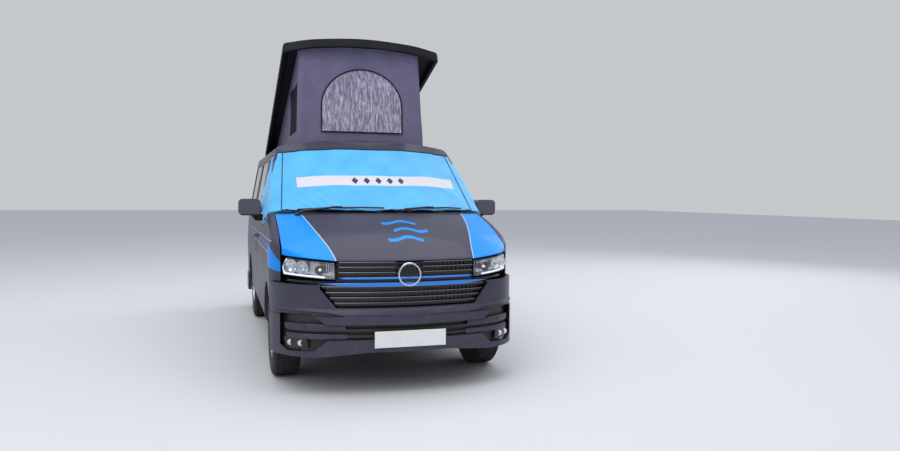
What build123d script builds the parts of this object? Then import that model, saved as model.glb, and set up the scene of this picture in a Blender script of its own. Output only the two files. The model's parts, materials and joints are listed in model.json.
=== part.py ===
"""Camper van with a raised, rear-hinged lifting roof. Millimetres, +Z up, front of the van towards -Y.

The origin is on the ground under the middle of the van's length. Places along the van are given as
distances aft of the front axle (negative is ahead of it), and aft() turns them into Y.
"""

from build123d import *
from math import asin, atan2, cos, hypot, radians, sin, sqrt, tan
import os

# Overall sizes
WHEELBASE = 3000
FRONT_OVERHANG = 909
REAR_OVERHANG = 995
BODY_HALF = 952
TRACK = 1628
AXLE_Z = 345
PANEL_GAP = 7
WALL = 68
SKIN = 24
WING_SKIN = 30
GLASS_OUT = 5
GLASS_IN = 12

# Body form in side view, as aft and z
SILL_Z = 262
NOSE_AFT = -862
NOSE_TOP_Z = 957
COWL_AFT, COWL_Z = -140, 1283
BONNET_RADIUS = 2600
BONNET_SWING = 1910
BONNET_ROUND = 60
SCREEN_FOOT = (-135, 1262)
SCREEN_HEAD = (640, 1845)
SCREEN_CROWN = 2100
HEADER_RADIUS = 450
TAIL_AFT = WHEELBASE + 950
TAIL_BELT_Z = 1060
TAIL_LEAN = 82

# Body form in plan
NOSE_RADIUS = 1850
NOSE_CORNER = 620
BUMPER_AFT = -899
BUMPER_CORNER = 500
BUMPER_HALF = 958
REAR_BUMPER_Z = 448
TAIL_RADIUS = 5200
TAIL_CORNER = 150

# Body form in cross-section, as half width, z and corner radius from the sill to the roof's ridge
SECTION = [
    (880, SILL_Z, 15),
    (944, 420, 160),
    (BODY_HALF, 900, 900),
    (940, 1150, 400),
    (806, 1868, 62),
]
RIDGE_Z = 1980
CROWN_RUN = 690
ROOF_SLOPE = atan2(RIDGE_Z - SECTION[-1][1], SECTION[-1][0])
ROOF_CROWN = CROWN_RUN / tan(ROOF_SLOPE)
ROOF_Z = RIDGE_Z - ROOF_CROWN * (1 / cos(ROOF_SLOPE) - 1)

# Openings in side view, as aft and z
FRONT_DOOR = [
    (446, 322),
    (1476, 322),
    (1476, 1826),
    (1010, 1826),
    (345, 1276),
    (352, 1120),
    (372, 820),
    (376, 690),
    (436, 520),
]
FRONT_DOOR_RADII = [40, 60, 70, 120, 25, 90, 200, 90, 90]
FRONT_WINDOW = [(480, 1188), (1405, 1172), (1405, 1762), (1032, 1762), (500, 1322)]
SLIDE_FRONT, SLIDE_REAR = 1520, WHEELBASE - 440
SLIDING_DOOR = [(SLIDE_FRONT, 322), (SLIDE_REAR, 322), (SLIDE_REAR, 1826), (SLIDE_FRONT, 1826)]
SLIDING_WINDOW = [(1620, 1186), (WHEELBASE - 520, 1186), (WHEELBASE - 520, 1762), (1620, 1762)]
REAR_WINDOW = [(WHEELBASE - 240, 1186), (TAIL_AFT - 230, 1186), (TAIL_AFT - 288, 1762), (WHEELBASE - 240, 1762)]

# Openings seen from the front or the rear, as x and z
SCREEN = [(-838, 1300), (838, 1300), (756, 1803), (330, 1832), (-330, 1832), (-756, 1803)]
SCREEN_RADII = [40, 40, 40, 700, 700, 40]
TAILGATE = [(-828, 470), (828, 470), (828, 1130), (718, 1858), (-718, 1858), (-828, 1130)]
TAILGATE_WINDOW = [(-700, 1206), (700, 1206), (632, 1752), (-632, 1752)]
LAMP = [(512, 824), (866, 846), (876, 905), (848, 978), (520, 951)]
BONNET_EDGE = [(-2000, 1086), (-850, 989), (-525, 962), (525, 962), (850, 989), (2000, 1086)]
LOWER_GRILLE = [(-518, 627), (518, 627), (652, 792), (-652, 792)]
TAIL_LAMP = [(858, 900), (1100, 900), (1100, 1360), (850, 1360)]

# Grille, right half of its backing as x and z, and its bars as z, half width and half thickness
GRILLE_BACK = [(512, 636), (640, 786), (845, 800), (845, 816), (508, 812), (508, 952)]
GRILLE_BARS = [
    (656, 528, 7),
    (694, 560, 7),
    (732, 590, 7),
    (772, 620, 7),
    (790, 640, 10),
    (838, 503, 7),
    (874, 503, 7),
    (912, 503, 7),
    (947, 503, 5),
]
BADGE_Z, BADGE_RADIUS = 862, 88

# Bumper recess, right half seen from the front
RECESS = [(0, 408), (577, 398), (662, 322), (842, 312), (890, 352)]
RECESS += [(890, 578), (700, 592), (588, 510), (0, 507)]

# Bonnet in plan
BONNET_HALF = 870
BONNET_REAR_RADIUS = 1379

# Front plate and fog lamps, seen from the front
PLATE_HALF, PLATE_LOW, PLATE_HIGH = 261, 350, 464
FOG_LAMP = [(704, 336), (846, 328), (866, 408), (716, 408)]
INTAKE_RIBS = (426, 470)

# Floor and bulkhead
FLOOR_HALF = 884
FLOOR_Z = 445
FIREWALL_AFT = 76
RAIL_INNER, RAIL_OUTER = 335, 425

# Mirrors and awning rail, seen from the front
MIRROR_CAP = [(968, 1252), (1149, 1252), (1149, 1392), (968, 1392)]
MIRROR_ARM = [(925, 1206), (1010, 1206), (1060, 1270), (925, 1262)]
AWNING_RAIL = [(806, 1836), (840, 1840), (840, 1886), (812, 1888)]

# Windscreen cover seen from the front, and the flap on each front door as aft and z
COVER = [(960, 1150), (960, 1300), (790, 1826), (742, 1826), (330, 1840)]
COVER_REAR_AFT = 1010
COVER_STAND_IN, COVER_STAND_OUT = 4, 9
FLAP = [(352, 1288), (362, 1176), (450, 1270), (700, 1330), (930, 1420), (960, 1700), (1012, 1800)]

# Wipers, as x and z along each blade
WIPER_RIGHT = [(-700, 1290), (-450, 1306), (-200, 1310), (-20, 1306)]
WIPER_LEFT = [(60, 1288), (300, 1304), (520, 1308), (700, 1300)]
WIPER_STAND = 25

# Wheels
TYRE_RADIUS = 345
TYRE_WIDTH = 215
RIM_RADIUS = 217
ARCH_RADIUS = 398
SPOKES = 5

# Gaps between the spokes: turn, half angle at the inner and outer end, inner and outer radius
SPOKE_GAPS = [(0, 14, 24, 92, 176), (36, 5, 6, 116, 172)]
WHEEL_ROOM = ((0, TRACK / 2 - 314), (WHEELBASE, TRACK / 2 - 142))

# Hubs, struts and arms, as distances from the middle of the van
HUB_FACE = TRACK / 2 - 66
HUB_BACK = TRACK / 2 - 162
STRUT_FOOT = TRACK / 2 - 214
STRUT_HEAD = TRACK / 2 - 224
BALL_JOINT = TRACK / 2 - 140

# Exhaust
PIPE_X, PIPE_Z, PIPE_RADIUS = 200, 262, 30
SILENCER_RADIUS = 88
TAILPIPE_RADIUS = 28

# Jacking pads under the floor
JACK_PADS = (640, WHEELBASE - 560)
JACK_X = 680
JACK_Z = 330

# Seats, as places from the middle of the van and half widths
SEAT_X, SEAT_HALF, SEAT_BACK_HALF = 420, 250, 235
BENCH_LOW_X, BENCH_HIGH_X = -400, 640
WHEEL_HUB = (-400, 540, 1056)
WHEEL_TIP = -58

# Lifting roof
LID_FRONT_AFT = 782
LID_REAR_AFT = WHEELBASE + 664
LID_HALF = 738
LID_SKIN = 28
LID_GAP = 7
LID_HINGE_Z = 1946
LID_ANGLE = 17.5

# Hatch in the roof panel, and the tent round it
HATCH_REAR = WHEELBASE + 300
HATCH = [(-540, 1060), (540, 1060), (540, HATCH_REAR), (-540, HATCH_REAR)]
TENT_FRONT_AFT = 985
TENT_WALL = 6

FRONT_AXLE_Y = FRONT_OVERHANG - (FRONT_OVERHANG + WHEELBASE + REAR_OVERHANG) / 2
FAR = 3000


def aft(distance):
    """Y of a place this far behind the front axle."""
    return FRONT_AXLE_Y + distance


def outline(points, radii=0):
    """A closed outline of straight runs, with one corner radius or one for each point."""
    if radii == 0:
        return make_face(Polyline(*points, close=True))
    return make_face(FilletPolyline(*points, radius=radii, close=True))


def grown(face, amount):
    return face if amount == 0 else offset(face, amount=amount)


def prism_x(points, radii=0, low=-FAR, high=FAR, grow=0):
    """Side-view outline of aft and z, extruded across the van."""
    face = outline([(low, aft(a), z) for a, z in points], radii)
    return extrude(grown(face, grow), high - low, dir=(1, 0, 0))


def prism_y(points, radii=0, low=-FAR, high=FAR, grow=0):
    """Front-view outline of x and z, extruded along the van between two Y."""
    face = outline([(x, low, z) for x, z in points], radii)
    return extrude(grown(face, grow), high - low, dir=(0, 1, 0))


def prism_z(points, radii=0, low=-FAR, high=FAR):
    """Plan outline of x and aft, extruded upwards."""
    face = outline([(x, aft(a), low) for x, a in points], radii)
    return extrude(face, high - low, dir=(0, 0, 1))


def block(x, a, z):
    """A plain box between low and high values of x, aft and z."""
    return prism_x([(a[0], z[0]), (a[1], z[0]), (a[1], z[1]), (a[0], z[1])], 0, x[0], x[1])


def rod(start, end, radius):
    """A round bar between two places given as x, aft and z."""
    p = Vector(start[0], aft(start[1]), start[2])
    q = Vector(end[0], aft(end[1]), end[2])
    return Solid.make_cylinder(radius, (q - p).length, Plane(origin=p, z_dir=q - p))


def upright(x, a, radius, low=0, high=2200):
    """A standing cylinder."""
    return Solid.make_cylinder(radius, high - low, Plane(origin=(x, aft(a), low), z_dir=(0, 0, 1)))


def mirrored(shape):
    return mirror(shape, about=Plane.YZ)


def both(shape):
    return shape + mirrored(shape)


def mirrored_outline(right):
    """Points of an outline's right half, followed back up the left half."""
    return right + [(-x, z) for x, z in reversed(right)]


def cut_all(shape, tools):
    for tool in tools:
        shape -= tool
    return shape


def end_arcs(tip_y, side, radius, corner, way):
    """Right half of a rounded end in plan, a wide arc and a corner arc, and the Y where the side starts.

    way is +1 for the tail and -1 for the nose.
    """
    wide_y = tip_y - way * radius
    corner_x = side - corner
    drop = sqrt((radius - corner) ** 2 - corner_x**2)
    corner_y = wide_y + way * drop
    bend = atan2(corner_x, drop)
    half = (bend + radians(90)) / 2

    def on(cx, cy, r, angle):
        return (cx + r * sin(angle), cy + way * r * cos(angle), 0)

    wide = ThreePointArc((0, tip_y, 0), on(0, wide_y, radius, bend / 2), on(0, wide_y, radius, bend))
    turn = ThreePointArc(on(0, wide_y, radius, bend), on(corner_x, corner_y, corner, half), (side, corner_y, 0))
    return wide, turn, corner_y


def plan_solid(nose_aft, corner, half, tail_aft, inset=0, low=100, high=2200):
    """Upright walls with a rounded nose and tail, pulled in by inset."""
    side = half - inset
    nose = end_arcs(aft(nose_aft) + inset, side, NOSE_RADIUS - inset, corner - inset, -1)
    tail = end_arcs(aft(tail_aft) - inset, side, TAIL_RADIUS - inset, TAIL_CORNER - inset, 1)
    flank = Line((side, nose[2], 0), (side, tail[2], 0))
    right = [nose[0], nose[1], flank, tail[1], tail[0]]
    left = [mirrored(edge) for edge in right]
    face = make_face([edge for shape in right + left for edge in shape.edges()])
    return extrude(Pos(0, 0, low) * face, high - low, dir=(0, 0, 1))


def body_plan(inset=0):
    return plan_solid(NOSE_AFT, NOSE_CORNER, BODY_HALF + 5, TAIL_AFT, inset)


def bumper_plan(tip, inset=0, low=100, high=2200):
    """The front bumper's walls with the nose at tip, running on to the rear bumper's."""
    return plan_solid(tip, BUMPER_CORNER, BUMPER_HALF, WHEELBASE + REAR_OVERHANG, inset, low, high)


def section_solid(inset=0):
    """The body's cross-section, sill to roof, extruded along the whole van."""
    points = [(x, z) for x, z, _ in SECTION] + [(0, RIDGE_Z)] + [(-x, z) for x, z, _ in reversed(SECTION)]
    radii = [r for _, _, r in SECTION] + [ROOF_CROWN] + [r for _, _, r in reversed(SECTION)]
    return prism_y(points, radii, grow=-inset)


def nose_solid(inset=0):
    """The bonnet's surface: a bowed centre line swung about an upright axis behind it."""
    run, rise = COWL_AFT - NOSE_AFT, COWL_Z - NOSE_TOP_Z
    chord = hypot(run, rise)
    back = sqrt(BONNET_RADIUS**2 - (chord / 2) ** 2)
    centre_aft = (NOSE_AFT + COWL_AFT) / 2 + back * rise / chord
    centre_z = (NOSE_TOP_Z + COWL_Z) / 2 - back * run / chord

    def on(a):
        return (0, aft(a), centre_z + sqrt((BONNET_RADIUS - inset) ** 2 - (a - centre_aft) ** 2))

    first, last = NOSE_AFT - 300, NOSE_AFT + 1100
    bow = ThreePointArc(on(first), on((first + last) / 2), on(last))
    feet = Polyline(on(last), (0, aft(last), 40), (0, aft(first), 40), on(first))
    axis = Axis((0, aft(NOSE_AFT) + BONNET_SWING, 0), (0, 0, 1))
    return revolve(make_face(bow.edges() + feet.edges()).rotate(axis, -75), axis, 150)


def screen_aft(z):
    """How far aft the windscreen's centre line is at a height."""
    foot, head = SCREEN_FOOT, SCREEN_HEAD
    return foot[0] + (z - foot[1]) * (head[0] - foot[0]) / (head[1] - foot[1])


def cabin_solid(inset=0):
    """Everything behind the windscreen's slope, rounded into the roof and crowned across the screen."""
    top = ROOF_Z + 3
    low = SCREEN_FOOT[1] - 320
    points = [
        (screen_aft(low), low, 0),
        (screen_aft(low), SILL_Z - 60, 0),
        (TAIL_AFT + 400, SILL_Z - 60, 0),
        (TAIL_AFT + 400, top, 0),
        (screen_aft(top), top, HEADER_RADIUS),
    ]
    tall = prism_x([(a, z) for a, z, _ in points], [r for _, _, r in points], grow=-inset)
    slope = atan2(SCREEN_HEAD[1] - SCREEN_FOOT[1], SCREEN_HEAD[0] - SCREEN_FOOT[0])
    along = Vector(0, cos(slope), sin(slope))
    down = Vector(0, sin(slope), -cos(slope))
    centre = Vector(0, aft(SCREEN_FOOT[0]), SCREEN_FOOT[1]) + down * (SCREEN_CROWN + 3)
    crown = Solid.make_cylinder(SCREEN_CROWN - inset, 12000, Plane(origin=centre - along * 6000, z_dir=along))
    return tall & crown


def tail_solid(inset=0):
    """The lean of the tail above the belt, swung about the centre of the tail's plan curve."""
    y = aft(TAIL_AFT) - TAIL_RADIUS
    top = ROOF_Z + 30
    points = [
        (y, SILL_Z - 60, 0),
        (aft(TAIL_AFT) + 8, SILL_Z - 60, 0),
        (aft(TAIL_AFT) + 2, TAIL_BELT_Z, 1500),
        (aft(TAIL_AFT - TAIL_LEAN), top, 120),
        (y, top, 0),
    ]
    face = grown(outline([(0, a, z) for a, z, _ in points], [r for _, _, r in points]), -inset)
    axis = Axis((0, y, 0), (0, 0, 1))
    return revolve(face.rotate(axis, -80), axis, 160)


def body_form(inset=0):
    """The body's closed outer form, or the same form pulled in by inset."""
    shell = section_solid(inset) & body_plan(inset)
    cabin = shell & cabin_solid(inset) & tail_solid(inset)
    nose = shell & nose_solid(inset) & block((-FAR, FAR), (-1500, 700), (0, 2200))
    if inset < BONNET_ROUND:
        crowns = [f for f in nose.faces() if f.geom_type != GeomType.PLANE and f.center().Z > 1000]
        bonnet = max(crowns, key=lambda f: f.area)
        nose = fillet(bonnet.edges().filter_by(GeomType.BSPLINE), BONNET_ROUND - inset)
    return cabin + nose


OUTER = body_form()
INNER = body_form(WALL)
SHELL = OUTER - INNER
HALF = block((0, FAR), (-1500, 4700), (0, 2200))


def arch_cuts(extra=0):
    """Room for the four wheels: round over the top and open below."""
    radius = ARCH_RADIUS + extra
    cuts = []
    for axle, inner in WHEEL_ROOM:
        start = (inner - extra, axle, AXLE_Z)
        tall = rod(start, (1200, axle, AXLE_Z), radius)
        low = block((inner - extra, 1200), (axle - radius, axle + radius), (0, AXLE_Z))
        cuts += [tall, low, mirrored(tall), mirrored(low)]
    return cuts


ARCHES = arch_cuts()


def side_cut(points, radii, grow=0):
    """A door or window outline, extruded over the +X side only."""
    return prism_x(points, radii, 744, 1200, grow)


def panels():
    """Bonnet, roof, sides, doors, wings, scuttle and all the glass."""
    nodes = {}
    door = side_cut(FRONT_DOOR, FRONT_DOOR_RADII)
    slide = side_cut(SLIDING_DOOR, 60)
    window = side_cut(FRONT_WINDOW, 40)
    slide_window = side_cut(SLIDING_WINDOW, 55)
    rear_window = side_cut(REAR_WINDOW, 55)
    screen = prism_y(SCREEN, SCREEN_RADII, -FAR, aft(1000))
    hatch = prism_z(HATCH, 60, 1700, 2100)
    gate = prism_y(TAILGATE, 45, aft(TAIL_AFT - 250), aft(TAIL_AFT + 250))
    gate_hole = prism_y(TAILGATE, 45, aft(TAIL_AFT - 250), aft(TAIL_AFT + 250), PANEL_GAP)
    gate_window = prism_y(TAILGATE_WINDOW, 60, aft(TAIL_AFT - 450), aft(TAIL_AFT + 350))
    door_hole = side_cut(FRONT_DOOR, FRONT_DOOR_RADII, PANEL_GAP)
    slide_hole = side_cut(SLIDING_DOOR, 60, PANEL_GAP)
    floor_cut = block((-850, 850), (-1500, 4700), (0, 332))

    over_lamps = prism_y(BONNET_EDGE + [(2000, 2400), (-2000, 2400)])
    bonnet_room = block((-BONNET_HALF - 6, BONNET_HALF + 6), (-1500, 700), (0, 2000))
    bonnet_gap = Pos(0, 0, -PANEL_GAP) * over_lamps & bonnet_room
    swing = COWL_AFT + BONNET_REAR_RADIUS
    bonnet = (OUTER - body_form(SKIN)) & over_lamps
    bonnet &= block((-BONNET_HALF, BONNET_HALF), (-1500, 700), (0, 2000))
    nodes["bonnet"] = bonnet - upright(0, swing, BONNET_REAR_RADIUS)
    front_skin = OUTER - body_form(WING_SKIN)
    scuttle = front_skin & upright(0, swing, BONNET_REAR_RADIUS - PANEL_GAP) & bonnet_gap
    nodes["scuttle"] = scuttle & block((-FAR, FAR), (-300, 420), (1150, 1296))

    roof_zone = block((-FAR, FAR), (600, 4700), (1842, 2100)) + block((-742, 742), (300, 1100), (1700, 1900))
    nodes["roof_panel"] = cut_all(SHELL & roof_zone, [hatch, gate_hole, screen])

    side = cut_all(SHELL & HALF, [roof_zone, gate_hole, screen, floor_cut, door_hole, rear_window] + ARCHES)
    behind = WHEELBASE + ARCH_RADIUS
    side -= block((-FAR, FAR), (-1500, 440), (0, 1200))
    side -= block((-FAR, FAR), (behind - 22, 4700), (0, REAR_BUMPER_Z + 7))
    side -= bonnet_gap & block((-FAR, FAR), (-1500, 420), (0, 1296))
    side -= prism_y(TAIL_LAMP, 0, aft(TAIL_AFT - 250), aft(TAIL_AFT + 250), 3)
    track = block((930, 1200), (SLIDE_REAR + 30, TAIL_AFT - 190), (1086, 1112))
    nodes["body_side_left"] = side - slide_hole - track
    nodes["body_side_right"] = mirrored(side - slide_window)
    nodes["front_door_left"] = (SHELL & door) - window - floor_cut
    nodes["front_door_right"] = mirrored(nodes["front_door_left"])
    nodes["sliding_door"] = (SHELL & slide) - slide_window - floor_cut
    nodes["tailgate"] = (SHELL & gate) - gate_window

    wing = front_skin & HALF & block((0, FAR), (-1500, 440), (SILL_Z - 10, 1200))
    inside = block((0, FAR), (-1500, -386), (0, 798)) + block((0, 850), (-1500, 600), (0, 700))
    inside += block((0, 881), (-1500, -300), (0, 1100))
    nodes["front_wing_left"] = cut_all(wing, [door_hole, bonnet_gap, inside] + ARCHES)
    nodes["front_wing_right"] = mirrored(nodes["front_wing_left"])

    glass = body_form(GLASS_OUT) - body_form(GLASS_IN)
    nodes["windscreen"] = glass & screen & block((-FAR, FAR), (-400, 1000), (1200, 1900))
    nodes["front_door_glass_left"] = glass & window
    nodes["front_door_glass_right"] = mirrored(nodes["front_door_glass_left"])
    nodes["sliding_door_glass"] = glass & slide_window
    nodes["side_glass"] = (glass & rear_window) + mirrored(glass & rear_window) + mirrored(glass & slide_window)
    nodes["tailgate_glass"] = glass & gate_window
    return nodes


def front_end():
    """Bumper, grilles, lamps and number-plate base."""
    nodes = {}
    nodes["headlamps"] = both((OUTER - body_form(70)) & prism_y(LAMP, 12, aft(-1200), aft(-300)))

    ring = bumper_plan(BUMPER_AFT, 0, 200, 568) + bumper_plan(BUMPER_AFT + 20, 0, 560, 790)
    ring -= bumper_plan(BUMPER_AFT, 46)
    ring &= block((-FAR, FAR), (-1200, -392), (0, 900))
    belly = prism_y(mirrored_outline([(FAR, 0), (FAR, 272), (640, 280), (290, 314)]))
    recess = prism_y(RECESS, 0, -FAR, aft(-300))
    cuts = [belly, recess, mirrored(recess), prism_y(LOWER_GRILLE, 20)]
    nodes["front_bumper"] = cut_all(ring, cuts + ARCHES)

    lining = bumper_plan(BUMPER_AFT, 48) - bumper_plan(BUMPER_AFT, 56)
    lining &= block((-880, 880), (-1200, -470), (330, 600))
    rib = bumper_plan(BUMPER_AFT, 22) - bumper_plan(BUMPER_AFT, 50)
    rib &= block((-FAR, FAR), (-1200, -560), (0, 900))
    for z in INTAKE_RIBS:
        lining += rib & block((-840, 840), (-1200, 0), (z - 9, z + 9))
    nodes["lower_intake"] = lining
    fog = (bumper_plan(BUMPER_AFT, 20) - bumper_plan(BUMPER_AFT, 46)) & HALF
    nodes["fog_lamps"] = both(fog & prism_y(FOG_LAMP, 12, -FAR, 0))

    backing = body_plan(34) - body_plan(40)
    nose = block((-FAR, FAR), (-1200, -300), (0, 1200))
    grille = backing & nose & prism_y(mirrored_outline(GRILLE_BACK))
    bars = (body_plan(4) - body_plan(36)) & nose
    for z, half, thick in GRILLE_BARS:
        grille += bars & block((-half, half), (-1200, 0), (z - thick, z + thick))
    nodes["grille"] = grille + rod((0, NOSE_AFT - 2, BADGE_Z), (0, NOSE_AFT + 37, BADGE_Z), BADGE_RADIUS)
    wedge = block((-230, 230), (BUMPER_AFT - 4, BUMPER_AFT + 39), (PLATE_LOW + 6, PLATE_HIGH - 6))
    wedge -= bumper_plan(BUMPER_AFT)
    plate = block((-PLATE_HALF, PLATE_HALF), (BUMPER_AFT - 10, BUMPER_AFT - 2), (PLATE_LOW, PLATE_HIGH))
    nodes["plate_base"] = plate + wedge
    return nodes


def rear_end():
    nodes = {}
    ring = bumper_plan(BUMPER_AFT, 0) - bumper_plan(BUMPER_AFT, 40)
    ring &= block((-FAR, FAR), (WHEELBASE + ARCH_RADIUS + 6, 4700), (SILL_Z, REAR_BUMPER_Z))
    nodes["rear_bumper"] = cut_all(ring, ARCHES)
    lamp = (OUTER - body_form(52)) & HALF & prism_y(TAIL_LAMP, 0, aft(TAIL_AFT - 170), aft(TAIL_AFT + 250))
    nodes["tail_lamps"] = both(lamp)
    return nodes


def wheels():
    """Tyres and rims, each rim with its brake disc."""
    nodes = {}
    half = TYRE_WIDTH / 2
    tyre = [(RIM_RADIUS, half - 6), (RIM_RADIUS + 45, half), (TYRE_RADIUS - 36, half - 2)]
    tyre += [(TYRE_RADIUS - 13, half - 10), (TYRE_RADIUS, half - 26)]
    lip = half - 10
    rim = [(RIM_RADIUS - 2, -lip), (RIM_RADIUS - 2, lip), (RIM_RADIUS - 16, lip), (RIM_RADIUS - 22, 62)]
    rim += [(80, 52), (40, 60), (0, 60), (0, -40), (80, -40)]
    rim += [(80, 22), (RIM_RADIUS - 34, 30), (RIM_RADIUS - 20, -lip)]
    disc = [(70, -58), (150, -58), (150, -32), (70, -32)]
    for end, axle in (("front", 0), ("rear", WHEELBASE)):
        for name, side in (("left", 1), ("right", -1)):
            x, y = side * TRACK / 2, aft(axle)
            axis = Axis((x, y, AXLE_Z), (1, 0, 0))
            profile = [(x + w, y, AXLE_Z + r) for r, w in tyre]
            profile += [(x - w, y, AXLE_Z + r) for r, w in reversed(tyre)]
            nodes[f"tyre_{end}_{name}"] = revolve(outline(profile), axis, 360)
            wheel = revolve(outline([(x + side * w, y, AXLE_Z + r) for r, w in rim]), axis, 360)
            for turn, inner, outer, low, high in SPOKE_GAPS:
                edge = [(low, -inner), (high, -outer), (high + 8, 0), (high, outer), (low, inner)]
                edge = [(axle + r * sin(radians(a)), AXLE_Z + r * cos(radians(a))) for r, a in edge]
                ends = sorted((side * (TRACK / 2 - 20), side * (TRACK / 2 + 120)))
                gap = prism_x(edge, [5, 8, 20, 8, 5], *ends)
                for k in range(SPOKES):
                    wheel -= gap.rotate(axis, 360 / SPOKES * k + turn)
            wheel += revolve(outline([(x + side * w, y, AXLE_Z + r) for r, w in disc]), axis, 360)
            nodes[f"rim_{end}_{name}"] = wheel
    return nodes


def chassis():
    """Floor, rails, engine, exhaust, suspension and the steered hub carriers."""
    nodes = {}
    across = (-FLOOR_HALF, FLOOR_HALF)
    rail = (RAIL_INNER, RAIL_OUTER)
    floor = INNER & block(across, (FIREWALL_AFT, TAIL_AFT - 78), (FLOOR_Z - 50, FLOOR_Z))
    firewall = INNER & block(across, (FIREWALL_AFT - 30, FIREWALL_AFT), (FLOOR_Z - 50, 1190))
    front_rail = block(rail, (-750, FIREWALL_AFT - 30), (FLOOR_Z - 45, FLOOR_Z + 45))
    long_rail = block(rail, (40, TAIL_AFT - 170), (FLOOR_Z - 121, FLOOR_Z - 49))
    radiator_frame = block((-RAIL_OUTER, RAIL_OUTER), (-745, -690), (350, 800))
    base = floor + firewall + both(front_rail + long_rail) + radiator_frame
    for place in JACK_PADS:
        base += both(block((JACK_X - 40, JACK_X + 40), (place - 40, place + 40), (JACK_Z, FLOOR_Z - 40)))
    nodes["underbody"] = cut_all(base, arch_cuts(6))
    liners = []
    for axle, inner in WHEEL_ROOM:
        liner = rod((inner - 4, axle, AXLE_Z), (876, axle, AXLE_Z), ARCH_RADIUS + 4)
        liner -= rod((inner, axle, AXLE_Z), (1000, axle, AXLE_Z), ARCH_RADIUS)
        liner -= block((-FAR, FAR), (axle - 600, axle + 600), (0, AXLE_Z + 46))
        liners.append(both(liner & body_form(WALL + 2)))
    strut_room = both(rod((STRUT_FOOT, 0, 400), (STRUT_HEAD, 0, 960), 50))
    nodes["wheel_liners"] = liners[0] + liners[1] - strut_room
    nodes["engine_block"] = block((-300, 300), (-660, -40), (500, 880))
    box_front, box_rear = WHEELBASE - 700, WHEELBASE - 200
    box_z = PIPE_Z + 18
    pipe = rod((PIPE_X, 120, PIPE_Z), (PIPE_X, box_front, PIPE_Z), PIPE_RADIUS)
    silencer = rod((PIPE_X, box_front - 10, box_z), (PIPE_X, box_rear, box_z), SILENCER_RADIUS)
    tailpipe = rod((PIPE_X, box_rear - 10, box_z), (PIPE_X + 230, TAIL_AFT - 50, box_z + 8), TAILPIPE_RADIUS)
    nodes["exhaust"] = pipe + silencer + tailpipe

    struts = rod((STRUT_FOOT, 0, 478), (STRUT_HEAD, 0, 900), 28)
    struts += rod((STRUT_FOOT - 3, 0, 600), (STRUT_HEAD, 0, 905), 42)
    arm_end = (STRUT_FOOT + 30, 0, 236)
    arms = rod((400, -60, 290), arm_end, 22) + rod((400, 150, 290), arm_end, 22)
    nodes["front_suspension"] = both(struts) + both(arms)
    arm = rod((STRUT_FOOT - 120, WHEELBASE - 480, 280), (STRUT_FOOT, WHEELBASE, AXLE_Z - 40), 34)
    arm += rod((STRUT_FOOT - 20, WHEELBASE, AXLE_Z - 6), (HUB_FACE, WHEELBASE, AXLE_Z - 6), 40)
    nodes["rear_suspension"] = both(arm)
    for name, side in (("left", 1), ("right", -1)):
        hub = rod((side * HUB_BACK, 0, AXLE_Z), (side * (HUB_BACK + 48), 0, AXLE_Z), 62)
        hub += rod((side * (HUB_BACK + 38), 0, AXLE_Z), (side * HUB_FACE, 0, AXLE_Z), 40)
        upright_pin = rod((side * BALL_JOINT, 0, 226), (side * BALL_JOINT, 0, 466), 22)
        nodes[f"hub_carrier_{name}"] = hub + upright_pin
    return nodes


def interior():
    nodes = {}
    dash = [(82, 800), (330, 820), (430, 980), (400, 1090), (82, 1120)]
    x, place, z = WHEEL_HUB
    wheel_at = Pos(x, aft(place), z) * Rot(WHEEL_TIP, 0, 0)
    column = wheel_at * Solid.make_cylinder(40, 400, Plane(origin=(0, 0, -300)))
    nodes["dashboard"] = (INNER & prism_x(dash, 25, -840, 840)) - column
    flat = Solid.make_torus(183, 15) + Solid.make_cylinder(34, 150, Plane(origin=(0, 0, -136)))
    for turn in (-30, 90, 210):
        flat += Rot(0, 0, turn) * Pos(90, 0, 0) * Box(170, 34, 12)
    nodes["steering_wheel"] = wheel_at * flat
    back = [(1190, 830), (1330, 830), (1452, 1480), (1420, 1700), (1350, 1700), (1320, 1500)]
    for name, x in (("left", SEAT_X), ("right", -SEAT_X)):
        seat = prism_x([(730, 760), (1290, 730), (1290, 880), (760, 900)], 30, x - SEAT_HALF, x + SEAT_HALF)
        seat += prism_x(back, [20, 20, 60, 20, 20, 60], x - SEAT_BACK_HALF, x + SEAT_BACK_HALF)
        seat += block((x - 190, x + 190), (820, 1230), (FLOOR_Z, 800))
        nodes[f"front_seat_{name}"] = seat
    front, rear = WHEELBASE - 450, WHEELBASE + 300
    cushion = prism_x([(front, 750), (rear, 750), (rear, 860), (front, 880)], 30, BENCH_LOW_X, BENCH_HIGH_X)
    backrest = [(rear - 130, 820), (rear + 30, 820), (rear + 180, 1440), (rear + 50, 1460)]
    bench = block((BENCH_LOW_X, BENCH_HIGH_X), (front + 10, rear), (FLOOR_Z, 760)) + cushion
    nodes["rear_bench"] = bench + prism_x(backrest, 30, BENCH_LOW_X, BENCH_HIGH_X)
    unit = block((-852, -440), (1660, WHEELBASE + 380), (FLOOR_Z, 1140))
    arch = rod((600, WHEELBASE, AXLE_Z), (1200, WHEELBASE, AXLE_Z), ARCH_RADIUS + 14)
    nodes["kitchen_unit"] = (INNER & unit) - mirrored(arch)
    return nodes


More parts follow.
